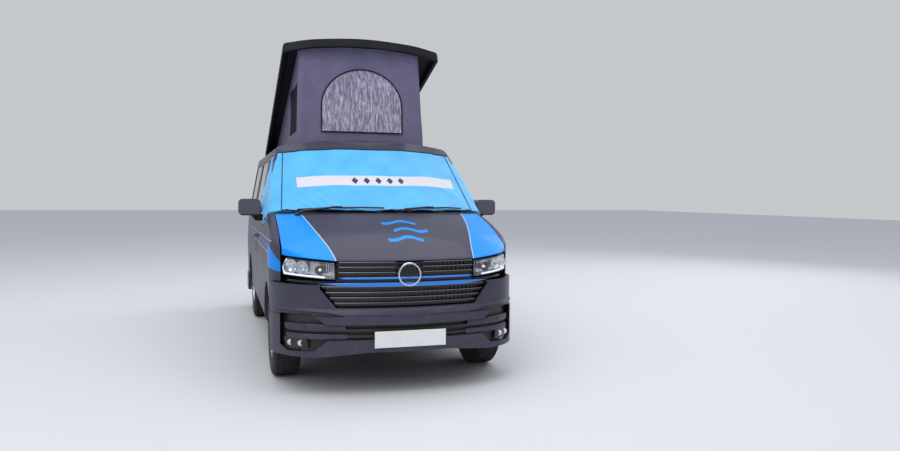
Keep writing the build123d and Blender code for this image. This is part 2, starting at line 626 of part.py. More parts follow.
def lid_form(inset=0):
    """The lifting roof's moulding, closed, as a solid that runs well below its lip."""
    half = LID_HALF - inset
    section = [(half + 12, 900, 0), (half, 1968, 34), (0, 2042, 4600)]
    section += [(-x, z, r) for x, z, r in reversed(section[:2])]
    front = LID_FRONT_AFT + inset
    rear = LID_REAR_AFT - inset
    plan = [(0, front - 16, 3000), (half * 0.7, front + 8, 700), (half + 10, front + 70, 50), (half + 10, rear, 60)]
    plan += [(-x, a, r) for x, a, r in reversed(plan[1:])]
    body = prism_y([(x, z - inset) for x, z, _ in section], [r for _, _, r in section])
    return body & prism_z([(x, a) for x, a, _ in plan], [r for _, _, r in plan])


def lifting_roof():
    nodes = {}
    lid = lid_form() - lid_form(LID_SKIN) - section_solid(-LID_GAP)
    hinge = Axis((0, aft(LID_REAR_AFT), LID_HINGE_Z), (-1, 0, 0))
    nodes["pop_top"] = lid.rotate(hinge, LID_ANGLE)
    under_lid = lid_form(LID_SKIN + 3).rotate(hinge, LID_ANGLE)
    fore, rear = TENT_FRONT_AFT, LID_REAR_AFT - 104
    side = [(fore, 1800), (rear, 1800), (rear, 2100), (fore + 115, 2900), (fore, 1934)]
    front = [(-662, 1800), (662, 1800), (588, 2850), (-588, 2850)]
    inside = [(fore, 1700), (rear - TENT_WALL, 1700), (rear - TENT_WALL, 2200), (fore + 127, 2960), (fore, 1934)]
    inside = [(a + (TENT_WALL if a == fore else 0), z) for a, z in inside]
    front_in = [(-662, 1700), (662, 1700), (576, 2920), (-576, 2920)]
    tent = prism_x(side) & prism_y(front) & under_lid
    tent -= prism_x(inside) & prism_y(front_in)
    nodes["roof_tent"] = tent - section_solid(-2)
    return nodes


def over_screen(x, z, stand):
    """A place standing off the windscreen in front of the point at x and z, as x, aft and z."""
    slope = atan2(SCREEN_HEAD[1] - SCREEN_FOOT[1], SCREEN_HEAD[0] - SCREEN_FOOT[0])
    dip = SCREEN_CROWN - sqrt(SCREEN_CROWN**2 - x**2)
    return (x, screen_aft(z) + dip / sin(slope) - stand * sin(slope), z + stand * cos(slope))


def outside_fittings():
    nodes = {}
    cap = prism_y(MIRROR_CAP, 36, aft(452), aft(600))
    arm = prism_y(MIRROR_ARM, 10, aft(486), aft(556))
    mirror_solid = cap + (arm - OUTER)
    nodes["mirror_left"] = mirror_solid
    nodes["mirror_right"] = mirrored(mirror_solid)
    rail = prism_y(AWNING_RAIL, 0, aft(1180), aft(TAIL_AFT - 310))
    bead = rod((826, 1100, 1864), (826, TAIL_AFT - 200, 1864), 5)
    nodes["awning_rail"] = rail - section_solid(-1) - bead
    cloth = body_form(-COVER_STAND_OUT) - body_form(-COVER_STAND_IN)
    cover_area = prism_y(mirrored_outline(COVER), 0, -FAR, aft(COVER_REAR_AFT))
    low_edge = prism_x([(-1500, 1296), (228, 1296), (352, 1150), (352, 900), (-1500, 900)])
    door_hole = side_cut(FRONT_DOOR, FRONT_DOOR_RADII, PANEL_GAP + 3)
    cover = (cloth & cover_area) - low_edge - door_hole - mirrored(door_hole)
    nodes["windscreen_cover"] = cover - block((-FAR, FAR), (COVER_REAR_AFT + 4, 4500), (0, 2200))
    nodes["cover_flap_left"] = cloth & side_cut(FLAP, 0) & side_cut(FRONT_DOOR, FRONT_DOOR_RADII)
    nodes["cover_flap_right"] = mirrored(nodes["cover_flap_left"])
    blades = []
    for stops in (WIPER_LEFT, WIPER_RIGHT):
        places = [over_screen(x, z, WIPER_STAND) for x, z in stops]
        blade = rod(places[0], places[1], 6)
        for start, end in zip(places[1:], places[2:]):
            blade += rod(start, end, 6) + Pos(start[0], aft(start[1]), start[2]) * Sphere(6)
        blades.append(blade)
    nodes["wipers"] = blades[0] + blades[1]
    return nodes


def main():
    os.makedirs("parts", exist_ok=True)
    made = {}
    for group in (panels, front_end, rear_end, wheels, chassis, interior, lifting_roof, outside_fittings):
        made |= group()
    for name, shape in made.items():
        export_step(shape, f"parts/{name}.step")


if __name__ == "__main__":
    main()
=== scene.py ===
import bpy
import bmesh
import json
from math import atan2, cos, exp, hypot, pi, radians, sin, sqrt
from mathutils import Matrix, Vector, noise
from mathutils.bvhtree import BVHTree

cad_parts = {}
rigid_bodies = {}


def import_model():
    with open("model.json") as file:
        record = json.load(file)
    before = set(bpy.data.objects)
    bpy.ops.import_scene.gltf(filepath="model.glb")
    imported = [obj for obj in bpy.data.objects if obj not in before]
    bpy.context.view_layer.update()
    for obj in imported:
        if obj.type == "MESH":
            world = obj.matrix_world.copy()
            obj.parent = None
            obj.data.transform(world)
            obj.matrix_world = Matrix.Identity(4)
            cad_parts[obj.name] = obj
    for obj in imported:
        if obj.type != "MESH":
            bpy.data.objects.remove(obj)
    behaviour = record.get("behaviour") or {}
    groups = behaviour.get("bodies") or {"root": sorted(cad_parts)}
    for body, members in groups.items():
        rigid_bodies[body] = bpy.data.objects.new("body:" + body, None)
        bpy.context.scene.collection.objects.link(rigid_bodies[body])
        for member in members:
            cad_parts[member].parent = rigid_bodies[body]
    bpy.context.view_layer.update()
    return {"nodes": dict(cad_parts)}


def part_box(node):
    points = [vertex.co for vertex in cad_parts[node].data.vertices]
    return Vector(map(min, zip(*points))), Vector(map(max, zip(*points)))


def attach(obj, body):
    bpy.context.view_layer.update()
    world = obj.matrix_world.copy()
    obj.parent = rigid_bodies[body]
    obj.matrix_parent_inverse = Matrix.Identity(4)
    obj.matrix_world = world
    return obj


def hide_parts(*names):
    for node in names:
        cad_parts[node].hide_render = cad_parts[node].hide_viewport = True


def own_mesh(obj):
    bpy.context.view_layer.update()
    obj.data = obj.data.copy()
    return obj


for spare in list(bpy.data.objects):
    bpy.data.objects.remove(spare)
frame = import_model()

# The camera stands ahead of the van and a little to its offside, at chest height. It is placed from the
# front axle, turned towards the van and tipped a little down, with the lens of a small camera.
front_axle = sum(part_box("tyre_front_left"), Vector()) / 2
rear_axle = sum(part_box("tyre_rear_left"), Vector()) / 2


def aft(distance):
    """The y of a place that lies a distance behind the front axle."""
    return front_axle.y + distance


CAMERA_PLACE = (-1.314, aft(-6.064), 1.435)
CAMERA_YAW, CAMERA_PITCH, CAMERA_ROLL = radians(17.26), radians(-2.34), 0.0064
CAMERA_LENS = 29.9

camera = bpy.data.objects.new("camera", bpy.data.cameras.new("camera"))
bpy.context.scene.collection.objects.link(camera)
camera.data.lens = CAMERA_LENS
camera.data.sensor_width = 36
camera.data.clip_end = 200
ahead = Vector((sin(CAMERA_YAW) * cos(CAMERA_PITCH), cos(CAMERA_YAW) * cos(CAMERA_PITCH), sin(CAMERA_PITCH)))
camera.matrix_world = (
    Matrix.Translation(CAMERA_PLACE)
    @ ahead.to_track_quat("-Z", "Y").to_matrix().to_4x4()
    @ Matrix.Rotation(CAMERA_ROLL, 4, "Z")
)
bpy.context.scene.camera = camera

# The ground is a plain pale studio floor. The light is a wide even sky with three large soft lamps: one
# ahead of the van on the camera's side, one straight above it and a weaker one on the far side.
FLOOR_COLOUR = (0.62, 0.62, 0.63, 1)
BACKDROP = (0.56, 0.58, 0.6, 1)
SKY_LIGHT = (0.62, 0.66, 0.74, 1)
SKY_LOW, SKY_HIGH = 0.32, 1.15


def tree_node(tree, kind, inputs=None, **settings):
    """Adds a shader node, with its inputs given as values or as sockets to link."""
    made = tree.nodes.new(kind)
    for key, value in settings.items():
        setattr(made, key, value)
    for key, value in (inputs or {}).items():
        if isinstance(value, bpy.types.NodeSocket):
            tree.links.new(value, made.inputs[key])
        else:
            made.inputs[key].default_value = value
    return made


floor_mesh = bpy.data.meshes.new("floor")
floor_mesh.from_pydata([(-40, -40, 0), (40, -40, 0), (40, 60, 0), (-40, 60, 0)], [], [(0, 1, 2, 3)])
floor = bpy.data.objects.new("floor", floor_mesh)
bpy.context.scene.collection.objects.link(floor)
floor_finish = bpy.data.materials.new("floor")
floor_finish.use_nodes = True
floor_shader = floor_finish.node_tree.nodes["Principled BSDF"]
floor_shader.inputs["Base Color"].default_value = FLOOR_COLOUR
floor_shader.inputs["Roughness"].default_value = 0.9
floor_mesh.materials.append(floor_finish)

world = bpy.data.worlds.new("studio")
bpy.context.scene.world = world
world.use_nodes = True
sky = world.node_tree
sky.nodes.clear()
rays = tree_node(sky, "ShaderNodeLightPath")
toward = tree_node(sky, "ShaderNodeTexCoord").outputs["Generated"]
rise = tree_node(sky, "ShaderNodeSeparateXYZ", {0: toward}).outputs[2]
overhead = tree_node(
    sky, "ShaderNodeMapRange", {"Value": rise, 1: -0.1, 2: 0.8, 3: SKY_LOW, 4: SKY_HIGH}).outputs[0]
glow = tree_node(sky, "ShaderNodeBackground", {"Color": SKY_LIGHT, "Strength": overhead})
seen = tree_node(sky, "ShaderNodeBackground", {"Color": BACKDROP, "Strength": 1.0})
shown = tree_node(sky, "ShaderNodeMath", {0: rays.outputs["Is Camera Ray"], 1: rays.outputs["Is Glossy Ray"]},
                  operation="MAXIMUM")
shown = tree_node(
    sky, "ShaderNodeMath", {0: shown.outputs[0], 1: rays.outputs["Is Transmission Ray"]}, operation="MAXIMUM")
either = tree_node(sky, "ShaderNodeMixShader", {0: shown.outputs[0], 1: glow.outputs[0], 2: seen.outputs[0]})
tree_node(sky, "ShaderNodeOutputWorld", {"Surface": either.outputs[0]})
for name, place, aim, size, power in (
    ("front_lamp", (-5.5, -8.0, 9.0), (0, -1.0, 1.0), 9.0, 420),
    ("top_lamp", (0.0, -1.0, 10.0), (0, 0, 1.0), 12.0, 640),
    ("far_lamp", (9.0, 4.0, 6.0), (0, 0, 1.0), 6.0, 220),
):
    lamp = bpy.data.objects.new(name, bpy.data.lights.new(name, "AREA"))
    bpy.context.scene.collection.objects.link(lamp)
    lamp.data.size = size
    lamp.data.energy = power
    lamp.location = place
    lamp.rotation_euler = (Vector(aim) - Vector(place)).to_track_quat("-Z", "Y").to_euler()
bpy.context.scene.view_settings.view_transform = "Standard"

# The body is pressed steel under dark metallic paint with a clear coat. Fine flakes break up its tone,
# and road dust dulls it towards the sills.
PAINT = (0.056, 0.054, 0.087, 1)
FLAKE_SCALE, PEEL_SCALE = 700, 220
ROAD_DUST = (0.16, 0.14, 0.12, 1)


def new_finish(name, colour, roughness, **sockets):
    """A material with its Principled shader's own values; socket names have spaces as underscores."""
    finish = bpy.data.materials.new(name)
    finish.use_nodes = True
    shader = finish.node_tree.nodes["Principled BSDF"]
    shader.inputs["Base Color"].default_value = colour
    shader.inputs["Roughness"].default_value = roughness
    for key, value in sockets.items():
        shader.inputs[key.replace("_", " ")].default_value = value
    return finish, finish.node_tree, shader


def calc(tree, operation, *values):
    """The output of a Math node over sockets or numbers."""
    made = tree_node(tree, "ShaderNodeMath", dict(enumerate(values)), operation=operation)
    return made.outputs[0]


def times(tree, first, second):
    """The product of two sockets or numbers."""
    return calc(tree, "MULTIPLY", first, second)


def apart(tree, first, second):
    """How far two sockets or numbers lie apart."""
    return calc(tree, "ABSOLUTE", calc(tree, "SUBTRACT", first, second))


def spread(tree, value, low, high, to_low=0.0, to_high=1.0):
    """A value mapped from one range to another with soft ends."""
    made = tree_node(tree, "ShaderNodeMapRange", {"Value": value, 1: low, 2: high, 3: to_low, 4: to_high})
    made.interpolation_type = "SMOOTHSTEP"
    return made.outputs[0]


def mixed(tree, share, first, second):
    """One colour laid over another by a share from 0 to 1."""
    made = tree_node(tree, "ShaderNodeMix", data_type="RGBA")
    for socket, value in ((made.inputs[0], share), (made.inputs[6], first), (made.inputs[7], second)):
        if isinstance(value, bpy.types.NodeSocket):
            tree.links.new(value, socket)
        else:
            socket.default_value = value
    return made.outputs[2]


def grain(tree, place, scale, detail=2.0, roughness=0.5):
    """Even noise over a place."""
    return tree_node(tree, "ShaderNodeTexNoise", {"Vector": place, "Scale": scale, "Detail": detail,
                                                  "Roughness": roughness}).outputs[0]


def object_place(tree):
    """Object coordinates, whole and as x, y and z."""
    place = tree_node(tree, "ShaderNodeTexCoord").outputs["Object"]
    split = tree_node(tree, "ShaderNodeSeparateXYZ", {0: place})
    return place, split.outputs[0], split.outputs[1], split.outputs[2]


def raise_bump(tree, shader, height, distance, strength=1.0):
    """Fine relief on a finish."""
    bump = tree_node(tree, "ShaderNodeBump", {"Height": height, "Distance": distance, "Strength": strength})
    tree.links.new(bump.outputs[0], shader.inputs["Normal"])


def shade(colour, share):
    """A colour made darker or lighter by a share."""
    return [min(1, part * share) for part in colour[:3]] + [1]


def body_paint(name, colour_over=None, coat=0.12, shine=0.14, metal=0.1):
    """Metallic paint; colour_over(tree, base, x, y, z) lays stripes over the base colour."""
    finish, tree, shader = new_finish(
        name, PAINT, 0.38, Metallic=metal, Coat_Weight=coat, Specular_IOR_Level=shine)
    place, x, y, z = object_place(tree)
    flake = grain(tree, place, FLAKE_SCALE, 1)
    tone = grain(tree, place, 1.3, 2)
    base = mixed(tree, spread(tree, flake, 0.35, 0.7), shade(PAINT, 0.86), shade(PAINT, 1.16))
    if colour_over:
        base = colour_over(tree, base, x, y, z)
    splash = times(tree, spread(tree, z, 0.95, 0.3), spread(tree, grain(tree, place, 9, 5), 0.35, 0.75))
    dust = times(tree, splash, 0.22)
    tree.links.new(mixed(tree, dust, base, ROAD_DUST), shader.inputs["Base Color"])
    dull = calc(tree, "ADD", dust, times(tree, tone, 0.1))
    tree.links.new(spread(tree, dull, 0, 0.4, 0.33, 0.6), shader.inputs["Roughness"])
    tree.links.new(spread(tree, dust, 0, 0.3, 0.03, 0.35), shader.inputs["Coat Roughness"])
    raise_bump(tree, shader, grain(tree, place, PEEL_SCALE, 1), 0.0002, 0.12)
    return finish


def wear(finish, *names):
    """Gives CAD nodes a finish."""
    for name in names:
        for slot in frame["nodes"][name].material_slots:
            slot.material = finish


paint = body_paint("body_paint")
wear(paint, "tailgate", "front_bumper", "rear_bumper")
wear(body_paint("roof_paint"), "roof_panel")

# The bonnet is a steel lid in the same paint. Bright blue film covers its outer parts and ends at a thin
# white pin line, which bows outwards as it runs back to the windscreen.
FILM_BLUE = (0.0, 0.27, 0.88, 1)
PIN_WHITE = (0.6, 0.63, 0.7, 1)
# Pin line: how far aft of the axle, and distance from the bonnet's middle
PIN_LINE = [(-0.80, 0.512), (-0.70, 0.530), (-0.60, 0.553), (-0.45, 0.591), (-0.25, 0.634), (0.0, 0.672),
            (0.20, 0.694)]
PIN_WIDTH = 0.003
# Film waves: how far aft, and x of each end
BONNET_WAVES = [(-0.6, -0.1, 0.17), (-0.47, -0.03, 0.24), (-0.34, -0.1, 0.17)]
WAVE_PITCH, WAVE_HEIGHT, WAVE_WIDTH = 26.0, 0.022, 0.02


def step(tree, value, edge, soft=0.0012):
    """1 where a value is over an edge, with a fine soft border; the edge is a number or a socket."""
    over = calc(tree, "SUBTRACT", value, edge)
    return spread(tree, over, -soft, soft)


def looks_along(tree, axis):
    """How squarely the surface looks along one axis of the van, from -1 to 1."""
    face = tree_node(tree, "ShaderNodeTexCoord").outputs["Normal"]
    return tree_node(tree, "ShaderNodeSeparateXYZ", {0: face}).outputs[axis]


def spread_line(tree, value, low, high, to_low=0.0, to_high=1.0):
    """A value mapped evenly from one range to another."""
    return tree_node(
        tree, "ShaderNodeMapRange", {"Value": value, 1: low, 2: high, 3: to_low, 4: to_high}).outputs[0]


def bonnet_waves(tree, base, x, y):
    """Three short blue waves, one behind another, a little to the left of the bonnet's middle."""
    film = base
    swell = times(tree, calc(tree, "SINE", times(tree, x, WAVE_PITCH)), WAVE_HEIGHT)
    for back, start, end in BONNET_WAVES:
        off = apart(tree, calc(tree, "SUBTRACT", y, swell), aft(back))
        along = times(tree, step(tree, x, start), step(tree, end, x))
        film = mixed(tree, times(tree, step(tree, WAVE_WIDTH, off), along), film, FILM_BLUE)
    return film


def bonnet_film(tree, base, x, y, z):
    """Blue film outside the two pin lines and the waves between them, on the upper face only."""
    low, high = PIN_LINE[0], PIN_LINE[-1]
    along = spread_line(tree, y, aft(low[0]), aft(high[0]))
    line = tree_node(tree, "ShaderNodeFloatCurve", {"Value": along})
    curve = line.mapping.curves[0]
    for place, half in PIN_LINE[1:-1]:
        curve.points.new((place - low[0]) / (high[0] - low[0]), (half - low[1]) / (high[1] - low[1]))
    line.mapping.update()
    half = calc(tree, "ADD", times(tree, line.outputs[0], high[1] - low[1]), low[1])
    out = calc(tree, "SUBTRACT", calc(tree, "ABSOLUTE", x), half)
    filmed = mixed(tree, step(tree, out, 0.0), bonnet_waves(tree, base, x, y), FILM_BLUE)
    filmed = mixed(tree, step(tree, PIN_WIDTH, calc(tree, "ABSOLUTE", out)), filmed, PIN_WHITE)
    return mixed(tree, step(tree, looks_along(tree, "Z"), 0.1), base, filmed)


wear(body_paint("bonnet_paint", bonnet_film), "bonnet")

# Both flanks carry a long sweep of film: a pale line above and below, a blue line between them, and a
# solid blue patch on the wing behind the lamp, where the lines run together. It lies on the outer face.
SWEEP_PALE = (0.42, 0.42, 0.43, 1)
SWEEP_BLUE = (0.004, 0.13, 0.45, 1)
SWEEP_START, SWEEP_END, SWEEP_FADE = -0.33, 3.3, 1.6
UPPER_Z, MIDDLE_Z, LOWER_Z = 1.080, 1.034, 0.985
PALE_HALF, BLUE_HALF = 0.0042, 0.012
# Foot and head of the wing's patch: height, how far aft it has that height, and slope
PATCH_FOOT, PATCH_HEAD = (0.868, -0.462, 0.072), (0.951, -0.468, 0.585)


def sloping_line(tree, back, height, start, slope):
    """The height of a straight line at a place along the van."""
    return calc(tree, "ADD", height, times(tree, calc(tree, "SUBTRACT", back, start), slope))


def side_film(tree, base, x, y, z):
    """The sweep of lines and the wing's patch, on the outer face only."""
    back = calc(tree, "SUBTRACT", y, front_axle.y)
    fade = spread_line(tree, back, SWEEP_FADE, SWEEP_END)
    upper = calc(tree, "SUBTRACT", UPPER_Z, times(tree, back, 0.006))
    lower = calc(tree, "ADD", LOWER_Z, times(tree, fade, 0.055))
    middle = calc(tree, "ADD", MIDDLE_Z, times(tree, fade, 0.018))
    here = times(tree, step(tree, back, SWEEP_START), step(tree, SWEEP_END, back))
    film = base
    for height, half, colour, start in (
        (upper, PALE_HALF, SWEEP_PALE, SWEEP_START),
        (lower, PALE_HALF, SWEEP_PALE, SWEEP_START + 0.2),
        (middle, BLUE_HALF, SWEEP_BLUE, SWEEP_START),
    ):
        off = apart(tree, z, height)
        thin = calc(tree, "SUBTRACT", half, times(tree, fade, half * 0.7))
        on = times(tree, times(tree, step(tree, thin, off), here), step(tree, back, start))
        film = mixed(tree, on, film, colour)
    foot, head = (sloping_line(tree, back, *line) for line in (PATCH_FOOT, PATCH_HEAD))
    rear = calc(tree, "SUBTRACT", times(tree, z, 1.06), 1.150)
    patch = times(tree, step(tree, z, foot), step(tree, head, z))
    patch = times(tree, patch, times(tree, step(tree, rear, back), step(tree, middle, z)))
    outer = step(tree, times(tree, looks_along(tree, "X"), x), 0.15)
    return mixed(tree, outer, base, mixed(tree, patch, film, FILM_BLUE))


wear(body_paint("side_paint", side_film, coat=0.05, shine=0.09), "sliding_door",
     *(f"{panel}_{side}" for panel in ("body_side", "front_door", "front_wing")
       for side in ("left", "right")))

# The side and rear panes are glass bonded in behind a black fired border, with a rubber bead round the
# edge. The cab's door glass is clear and only has the bead, and the living space has dark glass.
SEAL_RADIUS = 0.0045
BORDER_WIDTH = 0.03


def new_piece(name, points, faces, finish, body="body", slot=None, smooth=True):
    """A closed mesh of its own that moves with one of the frame's bodies."""
    mesh = bpy.data.meshes.new(name)
    mesh.from_pydata(points, [], faces)
    shaped = bmesh.new()
    shaped.from_mesh(mesh)
    bmesh.ops.recalc_face_normals(shaped, faces=shaped.faces)
    shaped.to_mesh(mesh)
    shaped.free()
    mesh.materials.append(finish)
    if smooth:
        mesh.shade_smooth()
        mesh.set_sharp_from_angle(angle=radians(38))
    piece = bpy.data.objects.new(name, mesh)
    bpy.context.scene.collection.objects.link(piece)
    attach(piece, body)
    return piece


def joined(*parts):
    """Several (points, faces) lists as one."""
    points, faces = [], []
    for more_points, more_faces in parts:
        first = len(points)
        points += [Vector(p) for p in more_points]
        faces += [tuple(first + i for i in face) for face in more_faces]
    return points, faces


def grid(rows, around=False, ends=False):
    """Faces over rows of points; around closes each row on itself, and ends caps the first and last row."""
    count = len(rows[0])
    points = [Vector(p) for row in rows for p in row]
    faces = []
    for r in range(len(rows) - 1):
        for c in range(count if around else count - 1):
            nxt = (c + 1) % count
            faces.append((r * count + c, r * count + nxt, (r + 1) * count + nxt, (r + 1) * count + c))
    if ends:
        faces.append(tuple(reversed(range(count))))
        faces.append(tuple((len(rows) - 1) * count + c for c in range(count)))
    return points, faces


def slab(rows, thickness):
    """A closed sheet: an open grid of points and the same grid moved along its normals."""
    across, down = len(rows[0]), len(rows)
    under = []
    for r, row in enumerate(rows):
        line = []
        for c, point in enumerate(row):
            along = Vector(row[min(c + 1, across - 1)]) - Vector(row[max(c - 1, 0)])
            over = Vector(rows[min(r + 1, down - 1)][c]) - Vector(rows[max(r - 1, 0)][c])
            line.append(Vector(point) + along.cross(over).normalized() * thickness)
        under.append(line)
    top_points, top_faces = grid(rows)
    low_points, low_faces = grid(under)
    size = len(top_points)
    faces = top_faces + [tuple(size + i for i in reversed(face)) for face in low_faces]
    rim = list(range(across)) + [r * across + across - 1 for r in range(1, down)]
    rim += [(down - 1) * across + c for c in reversed(range(across - 1))]
    rim += [r * across for r in reversed(range(1, down - 1))]
    for a, b in zip(rim, rim[1:] + rim[:1]):
        faces.append((b, a, a + size, b + size))
    return top_points + low_points, faces


def capped(rows):
    """A solid bar through closed rows, capped at both ends."""
    return grid(rows, around=True, ends=True)


def welded(rows):
    """Closed rows joined into a ring, the last one to the first."""
    points, faces = grid(rows + rows[:1], around=True)
    last = len(points) - len(rows[0])
    return points[:last], [tuple(i - last if i >= last else i for i in face) for face in faces]


def tube(path, radius, sides=8, closed=False, flat=1.0):
    """A round or flattened bar along a path; closed joins its end to its start."""
    path = [Vector(p) for p in path]
    rows, count = [], len(path)
    up = None
    for i, point in enumerate(path):
        before = path[(i - 1) % count] if closed or i else point
        after = path[(i + 1) % count] if closed or i < count - 1 else point
        along = (after - before).normalized()
        if up is None:
            up = Vector((0, 0, 1)) if abs(along.z) < 0.9 else Vector((0, 1, 0))
        side = along.cross(up).normalized()
        up = side.cross(along).normalized()
        wide = radius[i] if isinstance(radius, list) else radius
        rows.append([point + (side * cos(2 * pi * k / sides) * flat + up * sin(2 * pi * k / sides)) * wide
                     for k in range(sides)])
    return welded(rows) if closed else capped(rows)


def edge_lines(name, outward):
    """The outer edge lines of a CAD node's panes: closed lists of (place, face normal)."""
    shaped = bmesh.new()
    shaped.from_mesh(frame["nodes"][name].data)
    bmesh.ops.remove_doubles(shaped, verts=shaped.verts, dist=1e-5)
    links, normals = {}, {}
    for edge in shaped.edges:
        if len(edge.link_faces) != 2:
            continue
        facing = [face.normal.dot(outward(face.calc_center_median())) > 0.6 for face in edge.link_faces]
        if sum(facing) == 1:
            normal = edge.link_faces[facing.index(True)].normal.copy()
            for a, b in (edge.verts, reversed(edge.verts)):
                links.setdefault(a.index, []).append(b.index)
                normals.setdefault(a.index, []).append(normal)
    places = {v.index: v.co.copy() for v in shaped.verts}
    shaped.free()
    lines = []
    while links:
        here = next(iter(links))
        line = []
        while here is not None:
            line.append((places[here], sum(normals[here], Vector()).normalized()))
            onward = [i for i in links.pop(here) if i in links]
            here = onward[0] if onward else None
        if len(line) > 8:
            lines.append(line)
    return lines


def sideways(place):
    """The way out of a flank."""
    return Vector((1 if place.x > 0 else -1, 0, 0))


def backwards(place):
    """The way out of the tailgate."""
    return Vector((0, 1, 0))


def border_strip(line, width, stand=0.0004, thick=0.0005):
    """A thin band on a pane, running inwards from its edge."""
    middle = sum((place for place, _ in line), Vector()) / len(line)
    rows = []
    for i, (place, normal) in enumerate(line):
        along = (line[(i + 1) % len(line)][0] - line[i - 1][0]).normalized()
        inward = along.cross(normal).normalized()
        if inward.dot(middle - place) < 0:
            inward = -inward
        low, high = normal * stand, normal * (stand + thick)
        rows.append([place + low, place + high, place + inward * width + high, place + inward * width + low])
    return welded(rows)


def pane_finish(name, colour, clear):
    """Glass or clear plastic, with faint smears and a slight waviness."""
    finish, tree, shader = new_finish(name, colour, 0.03, Transmission_Weight=clear, IOR=1.45)
    place = object_place(tree)[0]
    tree.links.new(spread(tree, grain(tree, place, 3, 4), 0.45, 0.8, 0.02, 0.09), shader.inputs["Roughness"])
    raise_bump(tree, shader, grain(tree, place, 1.6, 1), 0.004, 0.05)
    return finish


def dull_finish(name, colour, roughness, scale=300, depth=0.0003, **sockets):
    """A finish with a fine moulded grain and a little dust lying in it."""
    finish, tree, shader = new_finish(name, colour, roughness, **sockets)
    place, _, _, z = object_place(tree)
    dust = times(tree, spread(tree, grain(tree, place, 6, 5), 0.42, 0.8), spread(tree, z, 1.5, 0.2, 0.1, 0.4))
    dusty = [0.5 * c + 0.5 * d for c, d in zip(colour, ROAD_DUST)]
    tree.links.new(mixed(tree, dust, colour, dusty), shader.inputs["Base Color"])
    tree.links.new(
        spread(tree, dust, 0, 0.4, roughness, min(roughness + 0.25, 1)), shader.inputs["Roughness"])
    raise_bump(tree, shader, grain(tree, place, scale, 3), depth, 0.6)
    return finish


clear_pane = pane_finish("door_glass", (0.62, 0.68, 0.67, 1), 0.95)
dark_pane = pane_finish("dark_glass", (0.012, 0.013, 0.015, 1), 0.35)
fired_border = dull_finish("fired_border", (0.006, 0.006, 0.007, 1), 0.12, scale=900, depth=0.00005)
rubber = dull_finish("rubber", (0.012, 0.012, 0.013, 1), 0.62, scale=500)
wear(clear_pane, "front_door_glass_left", "front_door_glass_right", "windscreen")
wear(dark_pane, "side_glass", "sliding_door_glass", "tailgate_glass")
for node, body, outward, bordered in (
    ("front_door_glass_left", "door_left", sideways, False),
    ("front_door_glass_right", "door_right", sideways, False),
    ("side_glass", "body", sideways, True),
    ("sliding_door_glass", "body", sideways, True),
    ("tailgate_glass", "rear_lid", backwards, True),
):
    lines = edge_lines(node, outward)
    beads = joined(*(tube([place + normal * 0.001 for place, normal in line], SEAL_RADIUS, 6, closed=True)
                     for line in lines))
    new_piece(node + "_seal", *beads, rubber, body, "black_plastic")
    if bordered:
        strips = joined(*(border_strip(line, BORDER_WIDTH) for line in lines))
        new_piece(node + "_border", *strips, fired_border, body, "black_gloss")

# The grille is moulded in gloss black. Each slat's rounded front edge is a thin bar in a paler metallic grey,
# a painted highlight for the light that edge catches. Thin upright ribs stand behind the slats, and two of
# the slats are covered by bright blue trims.
BADGE_Z, BADGE_RADIUS = 0.862, 0.084
# Slats: height and half width
SLATS = [(0.656, 0.528), (0.694, 0.56), (0.732, 0.59), (0.772, 0.62), (0.874, 0.503), (0.912, 0.503),
         (0.947, 0.503)]
SLAT_HIGHLIGHT_RADIUS = 0.0028
# Blue trims: name, height, half length, half height, and length of each tapered end
BLUE_TRIMS = [("upper_blue_trim", 0.838, 0.5, 0.0075, 0.03), ("lower_blue_trim", 0.792, 0.638, 0.0145, 0.2)]
# Section of a trim: place fore and aft, and share of its half height
TRIM_SECTION = [(0.006, -1), (-0.005, -1), (-0.0085, -0.5), (-0.0085, 0.5), (-0.005, 1), (0.006, 1)]
RIB_SPACING = 0.034


def surface_of(*names):
    """The joined faces of CAD nodes, for finding places on them."""
    meshes = [frame["nodes"][name].data for name in names]
    parts = [([v.co for v in mesh.vertices], [tuple(f.vertices) for f in mesh.polygons]) for mesh in meshes]
    return BVHTree.FromPolygons(*joined(*parts))


def from_front(surface, x, z, stand=0.0):
    """The place where a line running back from ahead of the van meets a surface, or None."""
    place = surface.ray_cast(Vector((x, -4, z)), Vector((0, 1, 0)))[0]
    return place and Vector((place.x, place.y - stand, place.z))


def span(low, high, count):
    """Evenly spaced numbers from low to high, both included."""
    return [low + (high - low) * i / (count - 1) for i in range(count)]


def geometry_tree(name, sockets):
    """An empty Geometry Nodes tree with named inputs."""
    tree = bpy.data.node_groups.new(name, "GeometryNodeTree")
    tree.interface.new_socket(name="Geometry", in_out="INPUT", socket_type="NodeSocketGeometry")
    for label, kind, value in sockets:
        made = tree.interface.new_socket(name=label, in_out="INPUT", socket_type=kind)
        if value is not None:
            made.default_value = value
    tree.interface.new_socket(name="Geometry", in_out="OUTPUT", socket_type="NodeSocketGeometry")
    return tree, tree.nodes.new("NodeGroupInput")


def run_tree(piece, tree, **values):
    """Evaluates a tree on a piece and keeps the result as its plain mesh."""
    made = piece.modifiers.new(tree.name, "NODES")
    made.node_group = tree
    for item in tree.interface.items_tree:
        if item.in_out == "INPUT" and item.name.replace(" ", "_") in values:
            made[item.identifier] = values[item.name.replace(" ", "_")]
    result = piece.evaluated_get(bpy.context.evaluated_depsgraph_get())
    mesh = bpy.data.meshes.new_from_object(result)
    piece.modifiers.clear()
    piece.data = mesh
    return piece


